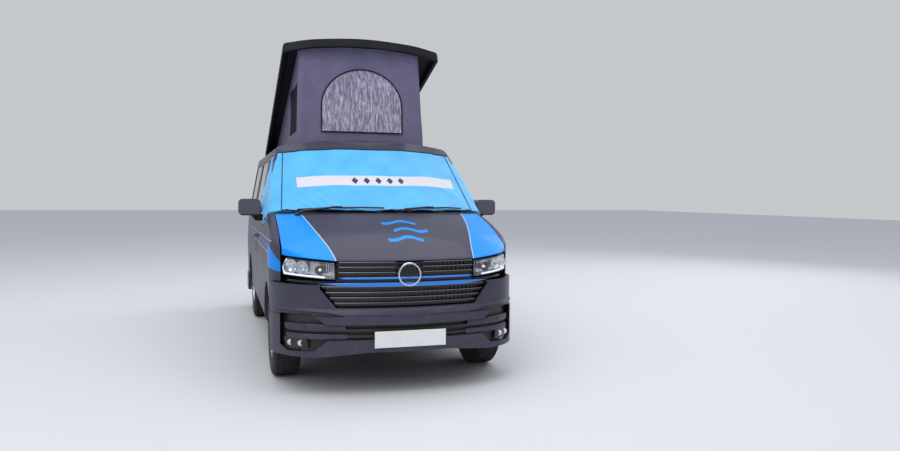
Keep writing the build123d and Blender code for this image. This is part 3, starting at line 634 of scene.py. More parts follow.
def blocks_along_tree():
    """Boxes set along a line at even spacing, each turned with the line."""
    tree, given = geometry_tree("blocks_along", [
        ("Spacing", "NodeSocketFloat", 0.03), ("Size", "NodeSocketVector", (0.004, 0.02, 0.02)),
        ("Finish", "NodeSocketMaterial", None)])
    line = tree_node(tree, "GeometryNodeMeshToCurve", {"Mesh": given.outputs["Geometry"]})
    stops = tree_node(tree, "GeometryNodeCurveToPoints",
                      {"Curve": line.outputs[0], "Length": given.outputs["Spacing"]}, mode="LENGTH")
    level = tree_node(tree, "FunctionNodeAlignRotationToVector", {"Vector": stops.outputs["Tangent"]},
                      axis="X", pivot_axis="Z")
    box = tree_node(tree, "GeometryNodeMeshCube", {"Size": given.outputs["Size"]})
    placed = tree_node(tree, "GeometryNodeInstanceOnPoints", {
        "Points": stops.outputs["Points"], "Instance": box.outputs["Mesh"], "Rotation": level.outputs[0]})
    real = tree_node(tree, "GeometryNodeRealizeInstances", {0: placed.outputs[0]})
    done = tree_node(
        tree, "GeometryNodeSetMaterial", {"Geometry": real.outputs[0], "Material": given.outputs["Finish"]})
    tree_node(tree, "NodeGroupOutput", {0: done.outputs[0]})
    return tree


def line_piece(name, lines):
    """A mesh of bare edges for a tree to work on."""
    mesh = bpy.data.meshes.new(name)
    points, edges = [], []
    for line in lines:
        edges += [(len(points) + i, len(points) + i + 1) for i in range(len(line) - 1)]
        points += line
    mesh.from_pydata(points, edges, [])
    piece = bpy.data.objects.new(name, mesh)
    bpy.context.scene.collection.objects.link(piece)
    return piece


gloss_black = dull_finish("gloss_black", (0.01, 0.01, 0.012, 1), 0.16, scale=40, depth=0.0001)
# Paler metallic grey: a painted highlight on the slats' front edges; the locks and the tent's head rail wear
# it as plain grey metal.
grey_metal_and_painted_highlight = dull_finish("slat_edge", (0.2, 0.2, 0.22, 1), 0.25, Metallic=0.7)
wear(gloss_black, "grille")
grille_face = surface_of("grille")
edges = []
# Each slat's front edge gets a bar of paler grey, a painted highlight of the light the gloss black edge
# catches.
for z, half in SLATS:
    places = [from_front(grille_face, x, z, 0.0012) for x in span(-half + 0.004, half - 0.004, 49)]
    places = [p + Vector((0, 0, 0.0062)) for p in places if p]
    if z > BADGE_Z - BADGE_RADIUS:
        edges += [tube([p for p in places if p.x * side > BADGE_RADIUS + 0.006], SLAT_HIGHLIGHT_RADIUS, 6)
                  for side in (-1, 1)]
    else:
        edges.append(tube(places, SLAT_HIGHLIGHT_RADIUS, 6))
new_piece("grille_slat_edges", *joined(*edges), grey_metal_and_painted_highlight, slot="black_gloss")

rib_lines = []
for (low, low_half), (high, high_half) in zip(SLATS, SLATS[1:]):
    if high - low < 0.05:
        half = min(low_half, high_half) - 0.03
        rib_lines.append([from_front(grille_face, x, (low + high) / 2, 0.004) for x in span(-half, half, 41)])
ribs = line_piece("grille_ribs", rib_lines)
run_tree(ribs, blocks_along_tree(), Spacing=RIB_SPACING, Size=(0.0035, 0.012, 0.03), Finish=gloss_black)
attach(ribs, "body")

blue_gloss, blue_tree, blue_shader = new_finish(
    "blue_trim", (0.01, 0.2, 0.72, 1), 0.22, Coat_Weight=0.8, Coat_Roughness=0.05)
raise_bump(blue_tree, blue_shader, grain(blue_tree, object_place(blue_tree)[0], 120, 2), 0.0003, 0.15)
for name, z, reach, half_tall, taper in BLUE_TRIMS:
    rows = []
    for x in span(-reach, reach, 61):
        place = from_front(grille_face, x, z)
        tall = half_tall * min(1, max(0.06, (reach - abs(x)) / taper))
        lift = (half_tall - tall) * 0.55
        rows.append([Vector((x, place.y + dy, z + lift + dz * tall)) for dy, dz in TRIM_SECTION])
    new_piece(name, *capped(rows), blue_gloss)

# The badge carrier is a plain domed disc moulded in gloss black, clipped to the middle of the grille. A
# polished ring runs round it, and its face is left blank.
chrome, chrome_tree, chrome_shader = new_finish("chrome", (0.78, 0.79, 0.82, 1), 0.12, Metallic=1.0)
smudge = grain(chrome_tree, object_place(chrome_tree)[0], 60, 3)
chrome_tree.links.new(spread(chrome_tree, smudge, 0.3, 0.8, 0.07, 0.24), chrome_shader.inputs["Roughness"])


def turned(profile, centre, axis, sides=48):
    """A lathe shape: (radius, distance along the axis) points swung round an axis."""
    axis = Vector(axis)
    side = axis.orthogonal().normalized()
    up = axis.cross(side)
    rows = []
    for k in range(sides):
        ray = side * cos(2 * pi * k / sides) + up * sin(2 * pi * k / sides)
        rows.append([Vector(centre) + ray * max(radius, 1e-5) + axis * along for radius, along in profile])
    points, faces = grid(rows + rows[:1])
    last = len(points) - len(profile)
    faces = [tuple(i - last if i >= last else i for i in face) for face in faces]
    shaped = bmesh.new()
    for p in points[:last]:
        shaped.verts.new(p)
    shaped.verts.ensure_lookup_table()
    for face in faces:
        shaped.faces.new([shaped.verts[i] for i in face])
    bmesh.ops.remove_doubles(shaped, verts=shaped.verts, dist=3e-5)
    shaped.verts.index_update()
    made = [v.co.copy() for v in shaped.verts], [tuple(v.index for v in f.verts) for f in shaped.faces]
    shaped.free()
    return made


badge_at = Vector((0, aft(-0.864), BADGE_Z))
BADGE_RING = [(0.071, -0.004), (0.071, 0.004), (0.075, 0.01), (0.084, 0.01), (0.088, 0.004), (0.089, -0.004),
              (0.071, -0.004)]
BADGE_DISC = [(0, -0.002), (0.0725, -0.002), (0.0725, 0.002), (0.06, 0.0035), (0.03, 0.0055), (0, 0.006)]
ahead_of_van = Vector((0, -1, 0))
new_piece("badge_ring", *turned(BADGE_RING, badge_at, ahead_of_van), chrome, slot="mirror_cap")
new_piece("badge_disc", *turned(BADGE_DISC, badge_at, ahead_of_van), gloss_black, slot="black_gloss")

# Each headlamp has a clear moulded lens over a bright plated pan, with two round reflectors, a darker
# turn lamp at its inner end and a white light guide that follows its lower and outer edges.
# Both sides of the van: name, and the way x runs
SIDES = (("left", 1), ("right", -1))
# Each end of the lamp, from its foot up: x and z
LAMP_INNER_END = [(0.516, 0.828), (0.523, 0.948)]
LAMP_OUTER_END = [(0.862, 0.85), (0.871, 0.905), (0.846, 0.974)]
LAMP_PAN_DEPTH = 0.05
# Bowls: name, place from the inner end, place from the foot, radius
LAMP_BOWLS = [
    ("outer_bowl", 0.72, 0.55, 0.05), ("middle_bowl", 0.44, 0.55, 0.044), ("inner_bowl", 0.17, 0.5, 0.034)]
# A bowl's section and its bulb's: share of the bowl's radius, and place along its axis
BOWL_SECTION = [
    (0, 0), (0.4, 0.004), (0.75, 0.014), (1, 0.03), (1.04, 0.03), (0.8, 0.01), (0.4, -0.002), (0, -0.004)]
BULB_SECTION = [(0, 0.003), (0.3, 0.003), (0.3, 0.012), (0.22, 0.02), (0.1, 0.024), (0, 0.0245)]
lamp_face = surface_of("headlamps")


def lamp_place(side, u, v, depth):
    """A place in a lamp: u from its inner to its outer end, v from foot to head, depth behind the lens."""
    low, middle, high = LAMP_OUTER_END
    first, last, share = (low, middle, v * 2) if v < 0.5 else (middle, high, v * 2 - 1)
    outer = Vector(first).lerp(Vector(last), share)
    inner = Vector(LAMP_INNER_END[0]).lerp(Vector(LAMP_INNER_END[1]), v)
    x, z = inner.lerp(outer, sin(u * pi / 2) ** 0.8 if u > 0 else 0)
    place, normal = lamp_face.ray_cast(Vector((side * x, -4, z)), Vector((0, 1, 0)))[:2]
    return place - normal * depth


def lamp_sheet(side, depth_at, thickness, columns=33, lines=13):
    """A sheet that fills a lamp's outline; depth_at(u, v) says how deep it lies."""
    rows = []
    for v in span(0.01, 0.99, lines):
        row = [lamp_place(side, u, v, depth_at(u, v)) for u in span(0.005, 0.995, columns)]
        rows.append(row if side > 0 else row[::-1])
    return slab(rows, thickness)


def pan_depth(u, v):
    """How deep the plated pan is, rising to the lens at its rim."""
    inside = min(u * 2.4, (1 - u) * 1.6, v, 1 - v) / 0.16
    return 0.005 + LAMP_PAN_DEPTH * min(1, max(0, inside)) ** 0.6


def lamp_edge(side, u0, u1, v0, v1, depth):
    """Places along the foot of a lamp and up its outer end."""
    foot = [lamp_place(side, u, v0, depth) for u in span(u0, u1, 30)]
    return foot + [lamp_place(side, u1, v, depth) for v in span(v0, v1, 12)[1:]]


lens_clear = pane_finish("lamp_lens", (0.93, 0.95, 0.97, 1), 1.0)
plated, plated_tree, plated_shader = new_finish("plated_pan", (0.62, 0.6, 0.68, 1), 0.22, Metallic=0.9)
flutes = tree_node(plated_tree, "ShaderNodeTexWave",
                   {"Vector": object_place(plated_tree)[0], "Scale": 22.0, "Distortion": 1.5})
raise_bump(plated_tree, plated_shader, flutes.outputs[1], 0.002, 0.7)
guide_white, guide_tree, guide_shader = new_finish(
    "light_guide", (0.9, 0.92, 0.95, 1), 0.2, Emission_Color=(0.9, 0.94, 1, 1), Emission_Strength=0.8)
raise_bump(guide_tree, guide_shader, grain(guide_tree, object_place(guide_tree)[0], 300, 1), 0.0004, 0.4)
lamp_dark = dull_finish("lamp_dark", (0.02, 0.02, 0.022, 1), 0.3, scale=200)
for name, side in SIDES:
    lens = new_piece(f"headlamp_lens_{name}", *lamp_sheet(side, lambda u, v: 0.0005, -0.003), lens_clear,
                     slot="lamp_clear")
    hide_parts("headlamps")
    new_piece(f"headlamp_pan_{name}", *lamp_sheet(side, pan_depth, -0.002), plated, slot="alloy")
    guide = tube(lamp_edge(side, 0.1, 0.965, 0.085, 0.93, 0.012), 0.007, 8)
    new_piece(f"headlamp_guide_{name}", *guide, guide_white, slot="lamp_clear")
    border = [(u, 0.01) for u in span(0.005, 0.995, 40)] + [(0.995, v) for v in span(0.05, 0.95, 12)]
    border += [(u, 0.99) for u in span(0.995, 0.005, 40)] + [(0.005, v) for v in span(0.95, 0.05, 8)]
    gasket = tube([lamp_place(side, u, v, 0.002) for u, v in border], 0.0035, 6, closed=True)
    new_piece(f"headlamp_gasket_{name}", *gasket, rubber, slot="black_plastic")
    for bowl_name, u, v, radius in LAMP_BOWLS:
        back = lamp_place(side, u, v, LAMP_PAN_DEPTH - 0.004)
        facing = (lamp_place(side, u, v, 0.0) - back).normalized()
        facing = (facing + ahead_of_van * 1.5).normalized()
        turn_lamp = bowl_name == "inner_bowl"
        bowl_finish, bulb_finish = (lamp_dark, guide_white) if turn_lamp else (chrome, lens_clear)
        bowl = [(radius * share, along) for share, along in BOWL_SECTION]
        bulb = [(radius * share, along) for share, along in BULB_SECTION]
        new_piece(f"headlamp_{bowl_name}_{name}", *turned(bowl, back, facing, 32), bowl_finish, slot="alloy")
        new_piece(f"headlamp_{bowl_name}_bulb_{name}", *turned(bulb, back, facing, 24), bulb_finish,
                  slot="lamp_clear")

# The front bumper's recess is lined in black plastic. Two painted blades cross each outer end of it above
# a pair of small fog lamps, and round parking sensors are let into the upper blades.
# Blades: name, foot, head, and x of each end
BUMPER_BLADES = [("upper", 0.467, 0.513, 0.455, 0.858), ("lower", 0.404, 0.442, 0.44, 0.85)]
SENSOR_X, SENSOR_Z, SENSOR_RADIUS = 0.727, 0.491, 0.011
BLADE_SECTION = [
    (0.012, -1), (-0.001, -1), (-0.005, -0.8), (-0.0065, 0), (-0.005, 0.8), (-0.001, 1), (0.012, 1)]
BLADE_BEND_X, RIB_Z = 0.838, 0.426
# Fog lamps: x and z
FOG_LAMPS = [(0.757, 0.374), (0.823, 0.374)]


def along_table(table, value):
    """A value read off a short table of pairs, with straight runs between them."""
    for (low, first), (high, second) in zip(table, table[1:]):
        if value <= high:
            return first + (second - first) * max(0, (value - low) / (high - low))
    return table[-1][1]


matt_black = dull_finish("black_plastic", (0.018, 0.018, 0.02, 1), 0.5, scale=450, depth=0.0004)
wear(matt_black, "lower_intake", "scuttle", "wheel_liners")
wear(gloss_black, "fog_lamps")
rib_face = surface_of("lower_intake", "fog_lamps")
for side_name, side in SIDES:
    for blade, low, high, start, end in BUMPER_BLADES:
        rows = []
        for x in span(start, end, 29):
            place = from_front(rib_face, side * min(x, BLADE_BEND_X), RIB_Z)
            bend = max(0, x - BLADE_BEND_X) * 1.3
            taper = min(1, 0.8 + (x - start) / 0.05, 0.7 + (end - x) / 0.02)
            middle, half = (low + high) / 2, (high - low) / 2 * taper
            rows.append(
                [Vector((side * x, place.y + bend + dy, middle + half * dz)) for dy, dz in BLADE_SECTION])
        new_piece(f"bumper_blade_{blade}_{side_name}", *capped(rows), paint, slot="paint_grey")
    sensor_y = from_front(rib_face, side * SENSOR_X, RIB_Z, 0.006).y
    sensor = [(0, 0.0), (SENSOR_RADIUS, 0.0), (SENSOR_RADIUS, 0.002), (SENSOR_RADIUS - 0.002, 0.003),
              (0, 0.0026)]
    sensor_at = (side * SENSOR_X, sensor_y, SENSOR_Z)
    new_piece(f"parking_sensor_{side_name}", *turned(sensor, sensor_at, ahead_of_van, 24), gloss_black,
              slot="black_gloss")
    for number, (x, z) in enumerate(FOG_LAMPS):
        at = from_front(rib_face, side * x, z, 0.001)
        bowl = [(0.0, 0.0), (0.011, 0.001), (0.019, 0.005), (0.021, 0.005), (0.021, -0.004), (0.0, -0.004)]
        new_piece(f"fog_lamp_bowl_{number + 1}_{side_name}", *turned(bowl, at, ahead_of_van, 28), chrome,
                  slot="alloy")

# A raised crease runs across the bumper under the grille and round both corners. It is part of the same
# painted moulding, and its upper face slopes forwards and catches the light.
# Crease: x, height of its middle, and half its height
BUMPER_CREASE = [(0, 0.594, 0.028), (0.48, 0.595, 0.027), (0.58, 0.608, 0.016), (0.72, 0.614, 0.0135),
                 (0.84, 0.614, 0.012), (1.0, 0.611, 0.01)]
CREASE_STAND = 0.018
crease_face = surface_of("front_bumper")
crease_rows = []
for angle in span(radians(-58), radians(58), 75):
    toward = Vector((-sin(angle), cos(angle), 0))
    start = Vector((0, aft(0.1), 0.61)) - toward * 3
    wide = abs(crease_face.ray_cast(start, toward)[0].x)
    middle, half = (along_table([(row[0], row[i]) for row in BUMPER_CREASE], wide) for i in (1, 2))
    row = []
    proud = CREASE_STAND * min(1, half / 0.02)
    section = ((1, -0.003), (0.92, 0.001), (-0.5, proud), (-0.62, 0.95 * proud), (-0.95, 0.001), (-1, -0.003))
    for share, stand in section:
        place = crease_face.ray_cast(Vector((start.x, start.y, middle)), toward)[0]
        slope = crease_face.ray_cast(Vector((start.x, start.y, middle + half * share)), toward)[0] or place
        if (slope - place).length > half * 1.6:
            slope = place
        row.append(Vector((slope.x, slope.y, middle + half * share)) - toward * stand)
    crease_rows.append(row)
new_piece("bumper_crease", *capped(crease_rows), paint, slot="paint_grey")

# The front plate is a blank white reflective sheet bonded to a thin backing, with a plain raised edge. It
# is screwed flat to the bumper under the crease.
plate, plate_tree, plate_shader = new_finish("plate_white", (0.82, 0.82, 0.8, 1), 0.3, Coat_Weight=0.4)
cells = tree_node(plate_tree, "ShaderNodeTexVoronoi", {"Vector": object_place(plate_tree)[0], "Scale": 260.0},
                  feature="DISTANCE_TO_EDGE")
raise_bump(plate_tree, plate_shader, cells.outputs[0], 0.0002, 0.35)
plate_dust = spread(plate_tree, grain(plate_tree, object_place(plate_tree)[0], 12, 5), 0.45, 0.8, 0, 0.25)
plate_colour = mixed(plate_tree, plate_dust, (0.84, 0.84, 0.82, 1), (0.6, 0.58, 0.54, 1))
plate_tree.links.new(plate_colour, plate_shader.inputs["Base Color"])
wear(plate, "plate_base")
plate_low, plate_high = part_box("plate_base")
plate_ends = (plate_low.x, plate_high.x, plate_high.x, plate_low.x)
plate_corners = [Vector((x, plate_low.y + 0.003, plate_high.z if k > 1 else plate_low.z))
                 for k, x in enumerate(plate_ends)]
new_piece("plate_edge", *tube(plate_corners, 0.002, 4, closed=True), plate, slot="plate_white", smooth=False)

# The mirror housings are painted shells on black arms at the foot of the windows. A silvered pane sits in
# a black rim on the side that faces the driver.
MIRROR_SPLIT = 1.262
# Lower inner and upper outer corner of the rim and of the pane: x and z
MIRROR_RIM, MIRROR_PANE = ((0.976, 1.26), (1.141, 1.384)), ((0.984, 1.268), (1.133, 1.376))


def mirror_look(tree, base, x, y, z):
    """Paler paint on the shell, and black plastic on the arm."""
    arm = calc(tree, "MAXIMUM", step(tree, MIRROR_SPLIT, z), step(tree, 0.97, calc(tree, "ABSOLUTE", x)))
    return mixed(tree, arm, mixed(tree, 0.5, base, (0.16, 0.15, 0.17, 1)), (0.016, 0.016, 0.018, 1))


def rounded_outline(low, high, radius, steps=6):
    """A rectangle with round corners, as pairs of numbers."""
    near, far = (low[0] + radius, low[1] + radius), (high[0] - radius, high[1] - radius)
    line = []
    for x, y, start in (
            (far[0], near[1], -90), (far[0], far[1], 0), (near[0], far[1], 90), (near[0], near[1], 180)):
        for angle in span(radians(start), radians(start + 90), steps + 1):
            line.append((x + radius * cos(angle), y + radius * sin(angle)))
    return line


def bevelled_plate(outline_points, place, deep, edge=0.002):
    """A flat plate from an outline, with its front edge eased; place turns (u, v, w) into a point."""
    middle_u = sum(u for u, v in outline_points) / len(outline_points)
    middle_v = sum(v for u, v in outline_points) / len(outline_points)

    def ring(shrink, w):
        points = []
        for u, v in outline_points:
            kept = 1 - shrink / hypot(u - middle_u, v - middle_v)
            points.append(place(middle_u + (u - middle_u) * kept, middle_v + (v - middle_v) * kept, w))
        return points

    rings = ((edge, 0), (0, 0), (0, deep - edge), (edge * 0.4, deep - edge * 0.3), (edge, deep))
    return capped([ring(shrink, w) for shrink, w in rings])


silvered, silver_tree, silver_shader = new_finish("mirror_glass", (0.72, 0.75, 0.78, 1), 0.04, Metallic=1.0)
smear = grain(silver_tree, object_place(silver_tree)[0], 9, 4)
silver_tree.links.new(spread(silver_tree, smear, 0.45, 0.85, 0.02, 0.12), silver_shader.inputs["Roughness"])
wear(body_paint("mirror_shell", mirror_look), "mirror_left", "mirror_right")
for side_name, side in SIDES:
    body = f"door_{side_name}"
    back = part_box(f"mirror_{side_name}")[1].y
    rim = bevelled_plate(
        rounded_outline(*MIRROR_RIM, 0.03), lambda u, v, w: Vector((side * u, back - 0.004 + w, v)), 0.01)
    pane = bevelled_plate(rounded_outline(*MIRROR_PANE, 0.025),
                          lambda u, v, w: Vector((side * u, back + 0.004 + w, v)), 0.004, 0.001)
    new_piece(f"mirror_rim_{side_name}", *rim, matt_black, body, "black_plastic")
    new_piece(f"mirror_pane_{side_name}", *pane, silvered, body, "mirror_cap")

# Door handles are painted bars that bridge a shallow round cup, with the lock beside them. The fuel door
# is a flush square panel on the offside with a fine dark joint round it.
# Handles: node, body, side, and how far aft each end is
HANDLES = [("front_door_left", "door_left", 1, 1.315, 1.445),
           ("front_door_right", "door_right", -1, 1.315, 1.445), ("sliding_door", "body", 1, 1.565, 1.695)]
HANDLE_Z, HANDLE_REACH, HANDLE_THICK = 1.035, 0.034, 0.0105
# Along a handle from its fore end: how far aft, and how far it stands off the skin
HANDLE_ARCH = [(0.0, -0.006), (0.004, 0.014), (0.014, 0.026), (0.03, HANDLE_REACH - 0.003),
               (0.065, HANDLE_REACH), (0.1, HANDLE_REACH - 0.003), (0.116, 0.026), (0.126, 0.014),
               (0.13, -0.006)]
FUEL_DOOR = ((1.52, 0.86), (1.69, 1.04))


def from_side(surface, side, y, z, stand=0.0):
    """The place where a line coming in from one side meets a surface."""
    place, normal = surface.ray_cast(Vector((side * 3, y, z)), Vector((-side, 0, 0)))[:2]
    return place and place + normal * stand


for node, body, side, start, end in HANDLES:
    skin = surface_of(node)
    path = [from_side(skin, side, aft(start + along), HANDLE_Z, stand) for along, stand in HANDLE_ARCH]
    new_piece(node + "_handle", *tube(path, HANDLE_THICK, 12, flat=1.35), paint, body, "paint_grey")
    middle = from_side(skin, side, aft((start + end) / 2), HANDLE_Z - 0.004)
    cup = [(0, 0.0003), (0.02, 0.0002), (0.036, 0.0008), (0.042, 0.0022), (0.045, 0.0004), (0.045, -0.004),
           (0, -0.004)]
    new_piece(node + "_handle_cup", *turned(cup, middle, (side, 0, 0), 40), paint, body, "paint_grey")
    lock_at = from_side(skin, side, aft(end + 0.026), HANDLE_Z)
    lock = [(0, 0.003), (0.006, 0.0032), (0.0085, 0.002), (0.009, -0.003), (0, -0.003)]
    new_piece(node + "_lock", *turned(lock, lock_at, (side, 0, 0), 20), grey_metal_and_painted_highlight, body, "alloy")
right_skin = surface_of("body_side_right")
joint = [from_side(right_skin, -1, aft(u), v, -0.0004) for u, v in rounded_outline(*FUEL_DOOR, 0.03)]
new_piece("fuel_door_joint", *tube(joint, 0.0022, 6, closed=True), rubber, slot="black_plastic")

# The sliding door's rail is a black rolled channel let into the nearside flank behind the door. The
# door's rear roller runs in it.
RAIL_Z, RAIL_START, RAIL_END = 1.075, 2.61, 3.67
RAIL_SECTION = [(-0.02, 0.013), (-0.006, 0.013), (-0.005, 0.035), (-0.02, 0.035)]
left_skin = surface_of("body_side_left")
rail_line = [from_side(left_skin, 1, y, RAIL_Z, 0.001) for y in span(aft(RAIL_START), aft(RAIL_END), 12)]
rows = [[place + Vector((dx, 0, dz)) for dx, dz in RAIL_SECTION] for place in rail_line]
new_piece("slide_rail", *capped(rows), matt_black, slot="black_plastic")

# The tail lamps are tall moulded units, red at head and foot, with an amber and a clear band between. Each
# reaches round onto the flank in a slightly bowed wing.
TAIL_RED = (0.42, 0.004, 0.006, 1)
# How far aft the wing begins and ends
TAIL_WING = (3.698, 3.79)
# Bands: height of their foot, and colour
TAIL_BANDS = [(1.0, (0.5, 0.5, 0.52, 1)), (1.09, (0.75, 0.22, 0.02, 1)), (1.17, TAIL_RED)]
tail_red, tail_tree, tail_shader = new_finish(
    "tail_lamp", TAIL_RED, 0.12, Transmission_Weight=0.25, Coat_Weight=1.0)
tail_place, _, _, tail_z = object_place(tail_tree)
tail_colour = TAIL_RED
for edge, colour in TAIL_BANDS:
    tail_colour = mixed(tail_tree, step(tail_tree, tail_z, edge), tail_colour, colour)
tail_tree.links.new(tail_colour, tail_shader.inputs["Base Color"])
tail_ribs = tree_node(
    tail_tree, "ShaderNodeTexWave", {"Vector": tail_place, "Scale": 30.0}, bands_direction="Z")
raise_bump(tail_tree, tail_shader, tail_ribs.outputs[1], 0.001, 0.5)
wear(tail_red, "tail_lamps")
lamp_skin = surface_of("tail_lamps")
for side_name, side in SIDES:
    flank = surface_of(f"body_side_{side_name}")
    lamp_low, lamp_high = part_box("tail_lamps")
    bow = from_side(flank, side, aft(TAIL_WING[0]), 1.1) - from_side(lamp_skin, side, aft(TAIL_WING[1]), 1.1)
    rows = []
    for z in span(lamp_low.z + 0.003, lamp_high.z - 0.003, 24):
        rear = from_side(lamp_skin, side, aft(TAIL_WING[1]), z, 0.001)
        fore = rear + bow + Vector((0, 0.027 if z > 1.18 else 0, 0))
        rows.append([fore.lerp(rear, share) + Vector((side * 0.003 * sin(pi * share), 0, 0))
                     for share in span(0, 1, 7)])
    new_piece(f"tail_lamp_wing_{side_name}", *slab(rows, -0.008 * side), tail_red, slot="lamp_red")

# The tailgate carries a wide grip above the place for the plate, a wiper parked across the foot of its
# window, and a narrow brake lamp above it.
# Along the grip and the wiper's arm: x, z, and how far they stand off the tailgate
GRIP = [(-0.27, 1.108, -0.004), (-0.262, 1.108, 0.012)]
GRIP += [(x, 1.108, 0.017) for x in span(-0.24, 0.24, 9)] + [(0.262, 1.108, 0.012), (0.27, 1.108, -0.004)]
REAR_ARM = [(0.0, 1.176, 0.02), (-0.05, 1.19, 0.028), (-0.22, 1.222, 0.026), (-0.24, 1.225, 0.022)]
REAR_PIVOT = [(0, 0.04), (0.014, 0.038), (0.019, 0.03), (0.02, -0.004), (0, -0.004)]
tail_skin = surface_of("tailgate", "tailgate_glass")


def from_behind(surface, x, z, stand=0.0):
    """The place where a line coming from behind the van meets a surface."""
    place, normal = surface.ray_cast(Vector((x, 5, z)), Vector((0, -1, 0)))[:2]
    return place and place + normal * stand


grip = [from_behind(tail_skin, *stop) for stop in GRIP]
new_piece("tailgate_grip", *tube(grip, 0.016, 12), gloss_black, "rear_lid", "black_gloss")
arm = [from_behind(tail_skin, *stop) for stop in REAR_ARM]
new_piece("rear_wiper_arm", *tube(arm, [0.013, 0.01, 0.006, 0.005], 10), matt_black, "rear_lid",
          "black_plastic")
pivot = turned(REAR_PIVOT, from_behind(tail_skin, 0, 1.176), (0, 1, 0), 24)
new_piece("rear_wiper_pivot", *pivot, matt_black, "rear_lid", "black_plastic")
blade = [from_behind(tail_skin, x, 1.232 + 0.02 * (x + 0.22), 0.011) for x in span(-0.42, -0.02, 11)]
new_piece("rear_wiper_blade", *tube(blade, [0.003, 0.007] + [0.008] * 7 + [0.007, 0.003], 8, flat=0.7),
          rubber, "rear_lid", "black_plastic")
brake = [from_behind(tail_skin, x, 1.792, 0.002) for x in span(-0.14, 0.14, 9)]
brake_red, brake_tree, brake_shader = new_finish("brake_lamp", (0.38, 0.003, 0.005, 1), 0.15, Coat_Weight=1.0)
brake_ribs = tree_node(
    brake_tree, "ShaderNodeTexWave", {"Vector": object_place(brake_tree)[0], "Scale": 40.0})
raise_bump(brake_tree, brake_shader, brake_ribs.outputs[1], 0.0006, 0.5)
new_piece("high_brake_lamp", *tube(brake, 0.009, 10, flat=0.7), brake_red, "rear_lid", "lamp_red")

# The awning rail is a bright drawn alloy channel, bonded and riveted along the nearside edge of the roof.
# Fine streaks from the drawing run along it.
drawn, drawn_tree, drawn_shader = new_finish("drawn_alloy", (0.55, 0.56, 0.58, 1), 0.35, Metallic=1.0)
streaks = tree_node(
    drawn_tree, "ShaderNodeMapping", {"Vector": object_place(drawn_tree)[0], "Scale": (300, 2, 300)})
raise_bump(drawn_tree, drawn_shader, grain(drawn_tree, streaks.outputs[0], 1, 3), 0.0002, 0.4)
wear(drawn, "awning_rail")

# The wipers are parked at the foot of the screen: each has a cranked arm from a capped pivot in the
# scuttle, and a slim rubber blade that lies over the hem of the screen's cover.
# Wipers: name, and x, distance aft of the axle and z of the places along the arm
WIPERS = [
    ("right", [(-0.705, 0.02, 1.272), (-0.66, -0.01, 1.3), (-0.42, -0.075, 1.334), (-0.36, -0.082, 1.336)]),
    ("left", [(0.105, -0.1, 1.286), (0.15, -0.11, 1.315), (0.34, -0.088, 1.333), (0.4, -0.078, 1.333)]),
]
wear(rubber, "wipers")
for name, stops in WIPERS:
    places = [Vector((x, aft(a), z)) for x, a, z in stops]
    new_piece(f"wiper_arm_{name}", *tube(places, [0.014, 0.011, 0.007, 0.006], 10, flat=1.3), matt_black,
              slot="black_plastic")
    pivot = [(0, 0.016), (0.012, 0.014), (0.02, 0.006), (0.021, -0.03), (0, -0.03)]
    new_piece(f"wiper_pivot_{name}", *turned(pivot, places[0], (0, -0.3, 1), 24), matt_black,
              slot="black_plastic")

# The screen's cover is a sheet of light blue nylon, wrapped round the windscreen and its pillars and shut
# in the front doors. Black piping runs along its hems and over each pillar, and a white band crosses it.
# Hem and top edge: distance from the middle, and height
COVER_HEM = [(0.0, 1.283), (0.14, 1.286), (0.4, 1.277), (0.61, 1.275), (0.76, 1.28), (0.852, 1.3),
             (0.88, 1.275), (0.915, 1.235), (0.95, 1.2)]
COVER_TOP = [(0.0, 1.838), (0.33, 1.838), (0.742, 1.824), (0.79, 1.815), (0.95, 1.8)]
COVER_BAND_LOW, COVER_BAND_HIGH, COVER_BAND_MIDDLE, COVER_BAND_HALF = 1.51, 1.594, 0.022, 0.695
COVER_THICK, COVER_SEAM = 0.0012, 0.925
BAND_WHITE, LOZENGE_NAVY = (0.68, 0.66, 0.7, 1), (0.02, 0.03, 0.12, 1)
LOZENGE_ROW, LOZENGE_PITCH, LOZENGE_HALF = 0.25, 0.1, 0.029

# Creases in the cover: x and z of each end, bow, height and width
COVER_CREASES = [
    (-0.62, 1.44, -0.3, 1.3, 0.05, 0.006, 0.014), (-0.7, 1.4, -0.36, 1.3, 0.04, 0.005, 0.012),
    (-0.55, 1.45, -0.22, 1.33, 0.05, 0.005, 0.012), (-0.75, 1.36, -0.45, 1.295, 0.03, 0.005, 0.012),
    (0.1, 1.36, 0.5, 1.42, 0.03, 0.004, 0.014), (0.3, 1.33, 0.72, 1.39, 0.03, 0.004, 0.014),
    (0.5, 1.5, 0.78, 1.36, -0.03, 0.005, 0.014), (0.62, 1.6, 0.72, 1.42, 0.02, 0.005, 0.012),
    (-0.72, 1.7, -0.55, 1.8, 0.02, 0.005, 0.012), (-0.35, 1.62, -0.2, 1.82, 0.02, 0.004, 0.014),
    (0.2, 1.6, 0.34, 1.8, -0.02, 0.004, 0.014), (0.5, 1.66, 0.7, 1.79, -0.02, 0.005, 0.012),
    (-0.5, 1.6, 0.1, 1.64, 0.02, 0.003, 0.016), (0.0, 1.3, 0.3, 1.36, 0.02, 0.004, 0.012),
]


def crease_height(creases, x, z):
    """How far all the creases together lift the cloth at a place."""
    total = 0.0
    for x0, z0, x1, z1, bow, height, width in creases:
        run, rise = x1 - x0, z1 - z0
        length = hypot(run, rise)
        share = ((x - x0) * run + (z - z0) * rise) / length**2
        off = ((x - x0) * rise - (z - z0) * run) / length - bow * 4 * share * (1 - share)
        fade = min(1, max(0, min(share, 1 - share) / 0.25 + 0.3)) if -0.08 < share < 1.08 else 0
        total += height * fade * exp(-((off / width) ** 2))
    return total


